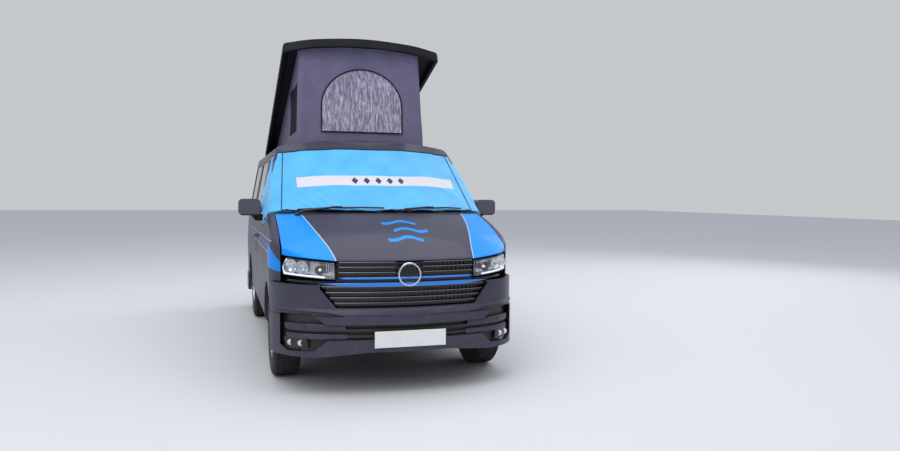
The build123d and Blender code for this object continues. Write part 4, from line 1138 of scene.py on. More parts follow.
def cloth_finish(name, colour, over=None, weave=1400, sheen=0.35, roughness=0.75, show_through=0.0):
    """Woven cloth: crossed threads in the bump, faint streaks and dust in the colour, and a soft sheen."""
    finish, tree, shader = new_finish(name, colour, roughness, Sheen_Weight=sheen, Sheen_Roughness=0.4,
                                      Subsurface_Weight=show_through, Specular_IOR_Level=0.15)
    place, x, y, z = object_place(tree)
    tone = spread(tree, grain(tree, place, 5, 5), 0.3, 0.75)
    base = mixed(tree, tone, shade(colour, 0.9), shade(colour, 1.08))
    if over:
        base = over(tree, base, x, y, z)
    tree.links.new(base, shader.inputs["Base Color"])
    across = calc(tree, "SINE", times(tree, calc(tree, "ADD", x, y), weave))
    down = calc(tree, "SINE", times(tree, z, weave))
    threads = times(tree, across, down)
    rumple = times(tree, grain(tree, place, 14, 4), 6.0)
    raise_bump(tree, shader, calc(tree, "ADD", threads, rumple), 0.0006, 0.5)
    return finish


def band_over(tree, base, x, y, z):
    """A white band with a row of small navy lozenges."""
    uneven = grain(tree, object_place(tree)[0], 4, 1)
    wobble = times(tree, calc(tree, "SUBTRACT", uneven, 0.5), 0.014)
    droop = times(tree, spread(tree, calc(tree, "ABSOLUTE", x), 0.4, 0.72), 0.02)
    height = calc(tree, "ADD", calc(tree, "ADD", z, wobble), droop)
    inside = times(tree, step(tree, height, COVER_BAND_LOW), step(tree, COVER_BAND_HIGH, height))
    off_middle = apart(tree, x, COVER_BAND_MIDDLE)
    inside = times(tree, inside, step(tree, COVER_BAND_HALF, off_middle))
    band = mixed(tree, inside, base, BAND_WHITE)
    beat = calc(tree, "PINGPONG", calc(tree, "ADD", x, LOZENGE_ROW), LOZENGE_PITCH)
    beside = apart(tree, beat, LOZENGE_PITCH / 2)
    above = apart(tree, z, (COVER_BAND_LOW + COVER_BAND_HIGH) / 2)
    lozenge = step(tree, LOZENGE_HALF, calc(tree, "ADD", beside, above))
    in_row = step(tree, LOZENGE_ROW, calc(tree, "ABSOLUTE", x))
    return mixed(tree, times(tree, lozenge, in_row), band, LOZENGE_NAVY)


cover_blue = cloth_finish("cover_nylon", (0.09, 0.47, 0.88, 1), band_over, sheen=0.5, roughness=0.55)
piping_black = cloth_finish("black_piping", (0.008, 0.008, 0.01, 1), roughness=0.6)
cover_face = surface_of("windscreen_cover")


def door_edge(z):
    """How far aft the front door's leading edge is at a height."""
    return 0.344 if z < 1.276 else 0.344 + (z - 1.276) * 1.209


def cover_place(across, up, stand=0.0):
    """A place on the cover: across from -1 to 1, up from the hem at 0 to the top at 1."""
    side = 1 if across >= 0 else -1
    wide = abs(across)
    z = along_table(COVER_HEM, wide * 0.95) * (1 - up) + along_table(COVER_TOP, wide * 0.95) * up
    reach = 0.925 - max(0, z - 1.27) * 0.2
    edge = aft(door_edge(z) - 0.012)
    depth = edge - aft(-0.13 + (z - 1.262) * 1.33)
    x = wide * reach
    angle = atan2(x, depth * sqrt(max(0, 1 - wide**2.6)))
    for _ in range(90):
        toward = Vector((-side * sin(angle), cos(angle), 0))
        place, normal = cover_face.ray_cast(Vector((0, edge, z)) - toward * 3, toward, 4)[:2]
        if place:
            lift = 0.002 + crease_height(COVER_CREASES, place.x, place.z)
            lift += 0.003 * noise.noise(place * 4) + 0.0015 * noise.noise(place * 11)
            hang = 0.008 * exp(-((up / 0.05) ** 2)) * (0.5 + 0.5 * sin(place.x * 23 + 1))
            return place + normal * (lift + hang + stand)
        z += 0.003 if up < 0.5 else -0.003
        angle *= 0.994
    raise ValueError(f"no cover at {across}, {up}")


def sheet_area(rows):
    """The area of a grid of points."""
    total = 0.0
    for low, high in zip(rows, rows[1:]):
        for a, b, c, d in zip(low, low[1:], high[1:], high):
            total += ((b - a).cross(c - a).length + (c - a).cross(d - a).length) / 2
    return total


cover_rows = [[cover_place(u, v) for u in span(-1, 1, 161)] for v in span(0, 1, 71)]
cover = new_piece("screen_cover", *slab(cover_rows, -COVER_THICK), cover_blue, slot="cover_blue")
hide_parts("windscreen_cover")
seams = [tube([cover_place(side * COVER_SEAM, v, 0.001) for v in span(0, 1, 60)], 0.0042, 6)
         for side in (-1, 1)]
hems = [tube([cover_place(u, v, 0.001) for u in span(-0.995, 0.995, 150)], radius, 6)
        for v, radius in ((0.004, 0.005), (0.996, 0.006))]
cover_piping = new_piece("screen_cover_piping", *joined(*seams, *hems), piping_black, slot="black_plastic")
round(sheet_area(cover_rows), 2)

# A three-cornered flap of the same nylon is shut in each front door to hold the cover down. It stands off
# the glass in a loose billow and is piped along its free edge.
# Stations from the pillar rearwards: how far aft, head, foot, and how far the cloth billows out
FLAP_STATIONS = [(0.36, 1.285, 1.176, 0.01), (0.42, 1.33, 1.225, 0.022), (0.5, 1.398, 1.29, 0.036),
                 (0.6, 1.48, 1.315, 0.045), (0.72, 1.578, 1.35, 0.044), (0.84, 1.678, 1.395, 0.034),
                 (0.93, 1.752, 1.45, 0.022), (0.985, 1.796, 1.62, 0.012)]
for side_name, side in SIDES:
    body = f"door_{side_name}"
    skin = surface_of(f"cover_flap_{side_name}", f"front_door_{side_name}", f"front_door_glass_{side_name}")
    rows = []
    for station in span(FLAP_STATIONS[0][0], FLAP_STATIONS[-1][0], 46):
        top, foot, billow = (
            along_table([(line[0], line[i]) for line in FLAP_STATIONS], station) for i in (1, 2, 3))
        row = []
        for v in span(0, 1, 27):
            z = foot + (top - foot) * v
            ripple = 0.005 * sin(station * 38 + v * 5) * (1 - v)
            ripple += 0.003 * noise.noise(Vector((station * 9, v * 4, side)))
            bulge = billow * (1 - v) ** 0.7 * (0.55 + 0.45 * sin(pi * min(1, v * 1.3 + 0.2)))
            base = from_side(skin, side, aft(station), min(z, 1.79))
            row.append(Vector((base.x + side * (0.004 + bulge + ripple), aft(station) - bulge * 0.5, z)))
        rows.append(row)
    flap = new_piece(
        f"door_flap_{side_name}", *slab(rows, COVER_THICK * side), cover_blue, body, "cover_blue")
    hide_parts(f"cover_flap_{side_name}")
    edging = [row[0] for row in rows] + rows[-1][1:]
    flap_piping = new_piece(
        f"door_flap_piping_{side_name}", *tube(edging, 0.0045, 6), piping_black, body, "black_plastic")
    area = round(sheet_area(rows), 3)

# The lifting roof's tent is grey canvas, sewn into a front wall and two sides that taper to the hinge. It
# is fixed to the hatch's rim and to the lid.
TENT_WINDOW_HALF, TENT_WINDOW_FOOT, TENT_WINDOW_SIDE, TENT_WINDOW_TOP = 0.385, 2.022, 2.26, 2.612
TENT_CORNER = 0.045
canvas = cloth_finish("tent_canvas", (0.175, 0.158, 0.25, 1), weave=1100, sheen=0.06, roughness=0.9)
lid_face = surface_of("pop_top")
roof_face = surface_of("roof_panel")
tent_fore, tent_rear = (corner.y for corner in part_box("roof_tent"))


def lid_under(x, y, stand):
    """The height of the lid's underside over a place on the plan."""
    place = lid_face.ray_cast(Vector((x, y, 1.75)), Vector((0, 0, 1)))[0]
    return place.z - stand if place else None


def tent_plan(share, side, z):
    """A place round the tent's plan at a height: share 0 at the middle of the front, 1 at the rear end."""
    half = 0.612 - (z - 1.8) * (0.02 if side < 0 else 0.062)
    front = half - TENT_CORNER
    turn = TENT_CORNER * pi / 2
    run = tent_rear - 0.01 - tent_fore - TENT_CORNER
    along = share * (front + turn + run)
    if along < front:
        return Vector((side * along, tent_fore, z)), Vector((0, -1, 0))
    if along < front + turn:
        angle = (along - front) / TENT_CORNER
        x, y = front + TENT_CORNER * sin(angle), tent_fore + TENT_CORNER * (1 - cos(angle))
        return Vector((side * x, y, z)), Vector((side * sin(angle), -cos(angle), 0))
    return Vector((side * half, tent_fore + TENT_CORNER + along - front - turn, z)), Vector((side, 0, 0))


def tent_place(share, side, up):
    """A place on the canvas, with the slack and folds that its own weight and the seams give it."""
    low, _ = tent_plan(share, side, 1.9)
    head, _ = tent_plan(share, side, 2.5)
    foot = roof_face.ray_cast(Vector((low.x * 0.995, low.y, 2.6)), Vector((0, 0, -1)))[0]
    foot_z = (foot.z if foot else 1.905) + 0.002
    top_z = lid_under(head.x, head.y, -0.002) or foot_z + 0.02
    z = foot_z + (max(top_z, foot_z + 0.02) - foot_z) * up
    place, out = tent_plan(share, side, z)
    tall = max(0.02, top_z - foot_z)
    slack = sin(pi * up) * min(1, tall / 0.4)
    corner = exp(-(((place - Vector((side * 0.62, tent_fore, z))).length / (2 * TENT_CORNER)) ** 2))
    fold = 0.004 * sin(place.y * 14 + z * 5 * side)
    fold += 0.005 * noise.noise(place * 3.1) + 0.002 * noise.noise(place * 9)
    sag = -0.012 * slack * (1 - corner)
    return place + out * ((fold * slack + sag) + 0.006 * corner * slack)


shares = [number / 150 for number in range(151)]
tent_rows = []
for v in span(0, 1, 41):
    right = [tent_place(s, -1, v) for s in reversed(shares[1:])]
    left = [tent_place(s, 1, v) for s in shares]
    tent_rows.append(right + left)
tent = new_piece("tent_canvas", *slab(tent_rows, -0.0016), canvas, slot="tent_canvas")
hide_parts("roof_tent")
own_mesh(tent)
tent_skin = BVHTree.FromPolygons(*grid(tent_rows))

# Behind the arched window hangs a thin silvered blind, finely crinkled, and sewn to the front wall's inside.
# Its colour runs pale on the ridges of the crinkles and dark in their hollows: painted highlight and shade.
# Round black piping covers the seam.


def on_tent(x, z, stand):
    """A place on the front wall."""
    place = tent_skin.ray_cast(Vector((x, -4, z)), Vector((0, 1, 0)))[0]
    return Vector((x, place.y - stand, z))


def window_half(z):
    """Half width of the arched window at a height."""
    if z < TENT_WINDOW_SIDE:
        return TENT_WINDOW_HALF
    share = min(1, (z - TENT_WINDOW_SIDE) / (TENT_WINDOW_TOP - TENT_WINDOW_SIDE))
    return TENT_WINDOW_HALF * sqrt(max(0, 1 - share**2))


blind_rows = []
for v in span(0.002, 0.998, 56):
    z = TENT_WINDOW_FOOT + (TENT_WINDOW_TOP - TENT_WINDOW_FOOT) * v
    half = max(window_half(z), 0.01)
    row = []
    for u in span(-1, 1, 81):
        fold = 0.003 * abs(noise.noise(Vector((u * 14, v * 2.5, 3))))
        fold += 0.002 * noise.noise(Vector((u * 40, v * 5, 1)))
        row.append(on_tent(half * u, z, 0.004 + fold))
    blind_rows.append(row)
foil, foil_tree, foil_shader = new_finish("silver_blind", (0.36, 0.34, 0.43, 1), 0.34, Metallic=0.55)
drawn_down = tree_node(
    foil_tree, "ShaderNodeMapping", {"Vector": object_place(foil_tree)[0], "Scale": (1, 1, 0.16)})
crinkle = grain(foil_tree, drawn_down.outputs[0], 85, 5, 0.7)
# Pale on the crinkles' ridges and dark in their hollows: painted highlight and shade on the foil.
foil_painted_light_and_shade = mixed(
    foil_tree, spread(foil_tree, crinkle, 0.4, 0.66), (0.2, 0.185, 0.27, 1), (0.62, 0.58, 0.72, 1))
foil_tree.links.new(foil_painted_light_and_shade, foil_shader.inputs["Base Color"])
raise_bump(foil_tree, foil_shader, crinkle, 0.006, 0.9)
blind = new_piece("window_blind", *slab(blind_rows, -0.0008), foil, slot="tent_canvas")
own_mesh(blind)
arch = [(x, TENT_WINDOW_FOOT) for x in span(-TENT_WINDOW_HALF, TENT_WINDOW_HALF, 24)]
arch += [(TENT_WINDOW_HALF, z) for z in span(TENT_WINDOW_FOOT, TENT_WINDOW_SIDE, 9)[1:]]
arch += [(TENT_WINDOW_HALF * cos(angle), TENT_WINDOW_SIDE + (TENT_WINDOW_TOP - TENT_WINDOW_SIDE) * sin(angle))
         for angle in span(0, pi, 40)[1:]]
arch += [(-TENT_WINDOW_HALF, z) for z in span(TENT_WINDOW_SIDE, TENT_WINDOW_FOOT, 9)[1:-1]]
piping = tube([on_tent(x, z, 0.007) for x, z in arch], 0.0065, 8, closed=True)
window_piping = new_piece("window_piping", *piping, piping_black, slot="tent_canvas")
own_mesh(window_piping)

# Each side of the tent has a dark mesh window sewn behind the canvas. A flat buckle closes the strap at the
# foot of the front wall, and a pale alloy strip clamps its head to the lid.
# Side window: how far aft it starts and ends, its foot and its head
TENT_SIDE_WINDOW = (1.1, 1.8, 2.03, 2.47)
mesh_cloth = cloth_finish("window_mesh", (0.014, 0.013, 0.02, 1), weave=900, sheen=0.0, roughness=0.9)
start, end, foot, top = TENT_SIDE_WINDOW
for side_name, side in SIDES:
    rows = []
    for v in span(0, 1, 15):
        row = []
        for u in span(0, 1, 15):
            y = aft(start + (end - start) * u)
            ceiling = lid_under(side * 0.6, y, 0.07) or 2.5
            z = foot + (min(top, ceiling) - foot) * v
            place = tent_skin.ray_cast(Vector((side * 3, y, z)), Vector((-side, 0, 0)))[0]
            row.append(place + Vector((side * 0.004, 0, 0)))
        rows.append(row)
    pane = new_piece(
        f"tent_side_window_{side_name}", *slab(rows, 0.001 * -side), mesh_cloth, slot="tent_canvas")
    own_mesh(pane)
    round(max(sheet_area(rows), 0.1), 3)
buckle_outline = rounded_outline((-0.034, 1.918), (0.034, 1.944), 0.005)
buckle = bevelled_plate(buckle_outline, lambda u, v, w: Vector((u, tent_fore - 0.002 - w, v)), 0.012)
new_piece("tent_buckle", *buckle, matt_black, slot="black_plastic")
tent_head = [on_tent(x, 2.806 - 0.03 * x * x, 0.003) for x in span(-0.575, 0.53, 60)]
head_rail = new_piece("tent_head_rail", *tube(tent_head, 0.006, 8, flat=1.4), grey_metal_and_painted_highlight, slot="tent_canvas")
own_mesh(head_rail)
tent_area = round(sheet_area(tent_rows), 2)
round(sheet_area(blind_rows), 3)

# The lifting roof itself is a moulded glass-fibre lid in satin black, hinged at its rear edge. Its gel coat
# has a fine even texture.
lid_black = dull_finish(
    "lid_black", (0.01, 0.01, 0.014, 1), 0.5, scale=260, depth=0.0004, Specular_IOR_Level=0.12)
wear(lid_black, "pop_top")

# The tyres are moulded rubber with five rows of tread blocks between straight grooves. The carcass is a
# lathe form, and one pitch of blocks is repeated round it by a node tree.
TREAD_PITCHES, TREAD_DEPTH = 66, 0.0075
# Wall of a tyre from the bead to the shoulder: radius, and distance from its middle plane
TYRE_WALL = [
    (0.2165, 0.088), (0.219, 0.097), (0.226, 0.101), (0.231, 0.1045), (0.236, 0.1045), (0.24, 0.1035),
    (0.262, 0.107), (0.288, 0.107), (0.309, 0.105), (0.322, 0.1015), (0.33, 0.0965), (0.3345, 0.088)]
# Rows of blocks: where each begins and ends across the tread, and how far it is skewed
TREAD_ROWS = [(-0.0975, -0.063, 0.002), (-0.055, -0.021, -0.008), (-0.013, 0.013, 0.0), (0.021, 0.055, 0.008),
              (0.063, 0.0975, -0.002)]
tyre_low, tyre_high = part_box("tyre_front_left")
tyre_radius = (tyre_high.z - tyre_low.z) / 2
# Lathe forms: radius, and distance along the axis
WHEEL_BOLT = [(0, 0.012), (0.0065, 0.0115), (0.0095, 0.008), (0.0095, -0.004), (0.013, -0.004),
              (0.013, -0.007), (0, -0.007)]
WHEEL_CAP = [(0, 0.009), (0.02, 0.0085), (0.029, 0.006), (0.032, 0.0), (0.032, -0.006), (0, -0.006)]


def ring_tree():
    """A shape made round the x axis, repeated in a ring and carried to a centre."""
    tree, given = geometry_tree("ring_of", [
        ("Count", "NodeSocketInt", 5), ("Centre", "NodeSocketVector", (0, 0, 0)),
        ("Finish", "NodeSocketMaterial", None)])
    points = tree_node(tree, "GeometryNodePoints", {"Count": given.outputs["Count"]})
    number = tree_node(tree, "GeometryNodeInputIndex")
    share = calc(tree, "DIVIDE", number.outputs[0], given.outputs["Count"])
    turn = times(tree, share, 2 * pi)
    turned_to = tree_node(tree, "FunctionNodeAxisAngleToRotation", {"Axis": (1, 0, 0), "Angle": turn})
    placed = tree_node(tree, "GeometryNodeInstanceOnPoints", {
        "Points": points.outputs[0], "Instance": given.outputs["Geometry"], "Rotation": turned_to.outputs[0]})
    real = tree_node(tree, "GeometryNodeRealizeInstances", {0: placed.outputs[0]})
    moved = tree_node(
        tree, "GeometryNodeTransform", {"Geometry": real.outputs[0], "Translation": given.outputs["Centre"]})
    done = tree_node(
        tree, "GeometryNodeSetMaterial", {"Geometry": moved.outputs[0], "Material": given.outputs["Finish"]})
    tree_node(tree, "NodeGroupOutput", {0: done.outputs[0]})
    return tree


def tread_pitch():
    """One pitch of tread round the x axis: five chamfered blocks, the outer ones falling away to the wall."""
    parts = []
    length = 2 * pi * tyre_radius / TREAD_PITCHES * 0.84
    foot, crown = tyre_radius - TREAD_DEPTH - 0.003, tyre_radius
    for low, high, skew in TREAD_ROWS:
        middle = (low + high) / 2
        if abs(middle) > 0.07:
            side, near = (1, low) if low > 0 else (-1, high)
            fall = [(0.0815, 0), (0.0925, 0.0105), (0.0975, 0.0165), (0.0985, 0.03), (0.09, 0.022)]
            section = [(near, foot), (near, crown - 0.001), (near + side * 0.0015, crown)]
            section += [(side * x, crown - drop) for x, drop in fall]
        else:
            section = [(low, foot), (low, crown - 0.001), (low + 0.0015, crown)]
            section += [(high - 0.0015, crown), (high, crown - 0.001), (high, foot)]
        ends = [[Vector((x, end * length / 2 + skew * (x - middle) / 0.017, r)) for x, r in section]
                for end in (-1, 1)]
        parts.append(capped(ends))
    return joined(*parts)


tyre_rubber, tyre_tree, tyre_shader = new_finish("tyre_rubber", (0.018, 0.018, 0.019, 1), 0.72)
tyre_place = object_place(tyre_tree)[0]
tyre_dust = spread(tyre_tree, grain(tyre_tree, tyre_place, 18, 5), 0.35, 0.8, 0.05, 0.5)
tyre_colour = mixed(tyre_tree, tyre_dust, (0.014, 0.014, 0.015, 1), (0.06, 0.056, 0.05, 1))
tyre_tree.links.new(tyre_colour, tyre_shader.inputs["Base Color"])
raise_bump(tyre_tree, tyre_shader, grain(tyre_tree, tyre_place, 420, 3), 0.0005, 0.6)
pitch_ring = ring_tree()
alloy, alloy_tree, alloy_shader = new_finish("alloy", (0.5, 0.5, 0.53, 1), 0.3, Metallic=0.9, Coat_Weight=0.5)
alloy_place = object_place(alloy_tree)[0]
brake_dust = spread(alloy_tree, grain(alloy_tree, alloy_place, 24, 5), 0.4, 0.8, 0.0, 0.35)
alloy_colour = mixed(alloy_tree, brake_dust, (0.56, 0.56, 0.6, 1), (0.14, 0.12, 0.11, 1))
alloy_tree.links.new(alloy_colour, alloy_shader.inputs["Base Color"])
raise_bump(alloy_tree, alloy_shader, grain(alloy_tree, alloy_place, 500, 2), 0.0002, 0.3)
zinc = dull_finish("zinc", (0.35, 0.35, 0.37, 1), 0.35, Metallic=0.9)
wear(alloy, *(f"rim_{end}_{side}" for end in ("front", "rear") for side in ("left", "right")))
for end in ("front", "rear"):
    for side_name, side in SIDES:
        body = f"wheel_{end}_{side_name}"
        centre = sum(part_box(f"tyre_{end}_{side_name}"), Vector()) / 2
        carcass = TYRE_WALL + [(tyre_radius - TREAD_DEPTH, w) for w in (0.08, 0.06, 0.0, -0.06, -0.08)]
        carcass += [(r, -w) for r, w in reversed(TYRE_WALL)]
        tyre = turned(carcass + [carcass[0]], centre, (1, 0, 0), 96)
        tyre = new_piece(f"tyre_carcass_{end}_{side_name}", *tyre, tyre_rubber, body, "tyre")
        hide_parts(f"tyre_{end}_{side_name}")
        tread = new_piece(
            f"tyre_tread_{end}_{side_name}", *tread_pitch(), tyre_rubber, body, "tyre", smooth=False)
        run_tree(tread, pitch_ring, Count=TREAD_PITCHES, Centre=tuple(centre), Finish=tyre_rubber)
        face = centre + Vector((side * 0.0575, 0, 0))
        bolt = turned(WHEEL_BOLT, (0, 0, 0.056), (side, 0, 0), 12)
        bolts = new_piece(f"wheel_bolts_{end}_{side_name}", *bolt, zinc, body, "alloy")
        run_tree(bolts, pitch_ring, Count=5, Centre=tuple(face), Finish=zinc)
        cap = turned(WHEEL_CAP, face + Vector((side * 0.004, 0, 0)), (side, 0, 0), 40)
        new_piece(f"wheel_cap_{end}_{side_name}", *cap, alloy, body, "alloy")
        valve = [centre + Vector((side * x, 0, z))
                 for x, z in ((0.072, -0.186), (0.088, -0.181), (0.1, -0.177))]
        new_piece(f"wheel_valve_{end}_{side_name}", *tube(valve, [0.004, 0.003, 0.0032], 8), rubber, body,
                  "black_plastic")

# The front seats have foam cushions under grey woven covers, with leather-look side rolls and a headrest
# on two rods. The bench is upholstered the same way on a boxed base.
seat_cloth = cloth_finish("seat_cloth", (0.05, 0.05, 0.056, 1), weave=900, sheen=0.3, roughness=0.9)
seat_side = dull_finish("seat_side", (0.02, 0.02, 0.022, 1), 0.5, scale=350)


PUFF_FRAMES = 12


def pillow(name, size, place, tilt, finish, puff=0.02):
    """A foam cushion cut as a box and puffed out under its cover by a short pressure simulation."""
    wide, _, tall = size
    shaped = bmesh.new()
    bmesh.ops.create_cube(shaped, size=1.0)
    bmesh.ops.scale(shaped, vec=size, verts=shaped.verts)
    bmesh.ops.bevel(
        shaped, geom=list(shaped.edges), offset=min(size) * 0.3, segments=4, profile=0.6, affect="EDGES")
    mesh = bpy.data.meshes.new(name)
    shaped.to_mesh(mesh)
    shaped.free()
    cushion = bpy.data.objects.new(name, mesh)
    bpy.context.scene.collection.objects.link(cushion)
    remesh = cushion.modifiers.new("even", "REMESH")
    remesh.mode = "VOXEL"
    remesh.voxel_size = 0.014
    cloth = cushion.modifiers.new("stuffing", "CLOTH")
    cloth.settings.use_pressure = True
    cloth.settings.uniform_pressure_force = 4
    cloth.settings.effector_weights.gravity = 0
    cloth.point_cache.frame_start = 1
    cloth.point_cache.frame_end = PUFF_FRAMES
    for moment in range(1, PUFF_FRAMES + 1):
        bpy.context.scene.frame_set(moment)
    evaluated = cushion.evaluated_get(bpy.context.evaluated_depsgraph_get())
    plump = bpy.data.meshes.new_from_object(evaluated)
    cushion.modifiers.clear()
    cushion.data = plump
    bpy.context.scene.frame_set(1)
    plump.materials.clear()
    plump.materials.append(finish)
    turn = Matrix.Translation(place) @ Matrix.Rotation(tilt, 4, "X")
    for v in plump.vertices:
        flat = Vector([max(-full / 2 - puff, min(full / 2 + puff, c)) for full, c in zip(size, v.co)])
        seam = 0.007 * exp(-(((abs(flat.x) - wide * 0.31) / 0.012) ** 2))
        seam += 0.005 * exp(-((flat.y / 0.01) ** 2)) * (abs(flat.x) < wide * 0.3)
        flat.z -= seam if flat.z > tall * 0.2 else 0
        v.co = turn @ flat
    plump.shade_smooth()
    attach(cushion, "body")
    return cushion


# Outline of a seat's shell: distance aft, and z. Then its pedestal: half width, and z
SEAT_SHELL = [(1.225, 0.8), (1.31, 0.82), (1.405, 1.2), (1.44, 1.5), (1.415, 1.52), (1.36, 1.46), (1.3, 1.1)]
SEAT_PEDESTAL = [(0.17, 0.446), (0.17, 0.52), (0.14, 0.7), (0.2, 0.745)]
for side_name, side in SIDES:
    x = side * 0.42
    cushion = pillow(
        f"seat_cushion_{side_name}", (0.47, 0.5, 0.13), (x, aft(1.02), 0.81), radians(-2), seat_cloth)
    pillow(f"seat_back_{side_name}", (0.45, 0.66, 0.1), (x, aft(1.325), 1.16), radians(79), seat_cloth)
    pillow(f"seat_headrest_{side_name}", (0.25, 0.17, 0.09), (x, aft(1.402), 1.605), radians(80), seat_cloth,
           0.012)
    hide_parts(f"front_seat_{side_name}")
    rows = [[Vector((x + dx, aft(back), z)) for back, z in SEAT_SHELL] for dx in (-0.215, -0.2, 0.2, 0.215)]
    new_piece(f"seat_shell_{side_name}", *capped(rows), seat_side, slot="dark_trim")
    rows = [[Vector((x + dx * w, aft(1.025) + dy * w, z)) for dx, dy in ((-1, -1), (1, -1), (1, 1), (-1, 1))]
            for w, z in SEAT_PEDESTAL]
    new_piece(f"seat_pedestal_{side_name}", *capped(rows), seat_side, slot="dark_trim", smooth=False)
    for number, dx in enumerate((-0.06, 0.06)):
        rod_path = [Vector((x + dx, aft(1.385), 1.44)), Vector((x + dx, aft(1.4), 1.56))]
        new_piece(f"headrest_rod_{number + 1}_{side_name}", *tube(rod_path, 0.006, 10), chrome,
                  slot="dark_metal")
bench_low, bench_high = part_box("rear_bench")
for number, x in enumerate((-0.14, 0.38)):
    seat_at = (x, bench_low.y + 0.33, 0.82)
    seat = pillow(f"bench_cushion_{number + 1}", (0.51, 0.62, 0.12), seat_at, radians(-1), seat_cloth)
    back_at = (x, bench_high.y - 0.14, 1.15)
    pillow(f"bench_back_{number + 1}", (0.5, 0.56, 0.1), back_at, radians(77), seat_cloth)
    if number == 0:
        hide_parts("rear_bench")
bench_front = [(0, 0.446), (0, 0.76), (0.6, 0.76), (0.66, 0.446)]
rows = [[Vector((x, bench_low.y + 0.02 + dy, z)) for dy, z in bench_front]
        for x in (-0.39, -0.385, 0.625, 0.63)]
new_piece("bench_base", *capped(rows), seat_side, slot="furniture_grey")

# The kitchen unit stands along the offside in grey laminate, with a pale worktop and four push-button
# doors. The dashboard is soft-grained plastic with round vents and a hooded cluster.
laminate = dull_finish("grey_laminate", (0.22, 0.22, 0.235, 1), 0.42, scale=160, depth=0.0002)
worktop = dull_finish("worktop", (0.42, 0.41, 0.4, 1), 0.3, scale=90, depth=0.0001)
wear(laminate, "kitchen_unit")
KITCHEN_DOORS, KNOB_Z = ((0.02, 0.4), (0.42, 0.82), (0.84, 1.24), (1.26, 1.68)), 1.05
KITCHEN_KNOB = [(0, 0.006), (0.009, 0.0055), (0.011, 0.003), (0.011, -0.002), (0, -0.002)]
unit_low, unit_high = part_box("kitchen_unit")
top_start, top_end = unit_low.x + 0.05, unit_high.x + 0.008
top = [(top_start, unit_low.y), (top_end, unit_low.y), (top_end, unit_high.y), (top_start, unit_high.y)]
top = bevelled_plate(top, lambda u, v, w: Vector((u, v, unit_high.z + w)), 0.018)
new_piece("kitchen_worktop", *top, worktop, slot="furniture_grey", smooth=False)
for number, (start, end) in enumerate(KITCHEN_DOORS):
    door_outline = rounded_outline((unit_low.y + start, 0.52), (unit_low.y + end, 1.1), 0.018)
    door = bevelled_plate(door_outline, lambda u, v, w: Vector((unit_high.x + w, u, v)), 0.012)
    new_piece(f"kitchen_door_{number + 1}", *door, laminate, slot="furniture_grey")
    knob = turned(KITCHEN_KNOB, (unit_high.x + 0.012, unit_low.y + start + 0.05, KNOB_Z), (1, 0, 0), 20)
    new_piece(f"kitchen_knob_{number + 1}", *knob, chrome, slot="furniture_grey")
trim = dull_finish("dashboard_grain", (0.022, 0.022, 0.024, 1), 0.6, scale=260, depth=0.0006)
leather = dull_finish("wheel_leather", (0.018, 0.018, 0.019, 1), 0.42, scale=380, depth=0.0005)
wear(trim, "dashboard")
wear(leather, "steering_wheel")
dash_face = surface_of("dashboard")
vent_ring = [(0.028, 0.0), (0.036, 0.006), (0.044, 0.006), (0.047, -0.002), (0.028, -0.002), (0.028, 0.0)]
for number, x in enumerate((-0.72, -0.1, 0.1, 0.72)):
    at = dash_face.ray_cast(Vector((x, aft(1.2), 1.03)), Vector((0, -1, 0)))[0]
    new_piece(f"dash_vent_{number + 1}", *turned(vent_ring, at, (0, 1, 0), 32), chrome, slot="dark_trim")
hood = [(0.2, 0), (0.19, 0.04), (0.14, 0.062), (0, 0.068), (-0.14, 0.062), (-0.19, 0.04), (-0.2, 0)]
rows = [[Vector((-0.4 + dx, aft(back), 1.085 + dz * tall)) for dx, dz in hood]
        for back, tall in ((0.24, 0.4), (0.28, 0.95), (0.41, 1.0))]
new_piece("cluster_hood", *slab(rows, 0.006), trim, slot="dark_trim")

# The engine hangs between the front rails: a ribbed block with a cast sump below and a plastic cover on
# top. Under the floor there is sprayed sealant, a steel exhaust and dark forged suspension.
cast = dull_finish("cast_metal", (0.16, 0.16, 0.165, 1), 0.55, scale=220, depth=0.001, Metallic=0.7)
underseal = dull_finish("underseal", (0.016, 0.016, 0.017, 1), 0.8, scale=130, depth=0.0018)
steel, steel_tree, steel_shader = new_finish("exhaust_steel", (0.3, 0.27, 0.24, 1), 0.4, Metallic=0.85)
steel_place = object_place(steel_tree)[0]
rust = spread(steel_tree, grain(steel_tree, steel_place, 12, 6), 0.42, 0.7)
steel_colour = mixed(steel_tree, rust, (0.34, 0.31, 0.28, 1), (0.12, 0.055, 0.03, 1))
steel_tree.links.new(steel_colour, steel_shader.inputs["Base Color"])
raise_bump(steel_tree, steel_shader, grain(steel_tree, steel_place, 160, 4), 0.0008, 0.7)
forged = dull_finish("dark_metal", (0.03, 0.03, 0.032, 1), 0.5, scale=200, Metallic=0.6)
wear(underseal, "underbody")
wear(steel, "exhaust")
wear(forged, "front_suspension", "rear_suspension")
wear(cast, "hub_carrier_left", "hub_carrier_right")
block_low, block_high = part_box("engine_block")
# Levels of the casting, sump first: height, and share of the block's breadth
ENGINE_LEVELS = [(0.5, 0.62), (0.505, 0.66), (0.56, 0.7), (0.565, 0.9)]
ENGINE_LEVELS += [(0.6 + 0.04 * k, 0.93 if k % 2 else 0.9) for k in range(5)]
ENGINE_LEVELS += [(0.8, 0.86), (0.81, 0.8), (0.85, 0.8), (0.872, 0.72)]
block_middle, block_half = (block_low + block_high) / 2, (block_high - block_low) / 2
rows = []
for z, share in ENGINE_LEVELS:
    outline = [(u * share, v * share) for u, v in rounded_outline((-1, -1), (1, 1), 0.16, 4)]
    rows.append([Vector((block_middle.x + u * block_half.x, block_middle.y + v * block_half.y, z))
                 for u, v in outline])
engine = new_piece("engine_casting", *capped(rows), cast, slot="cast_metal", smooth=False)
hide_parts("engine_block")
SPRING_X, SPRING_RADIUS, SPRING_FOOT, SPRING_RISE = 0.592, 0.062, 0.64, 0.0058
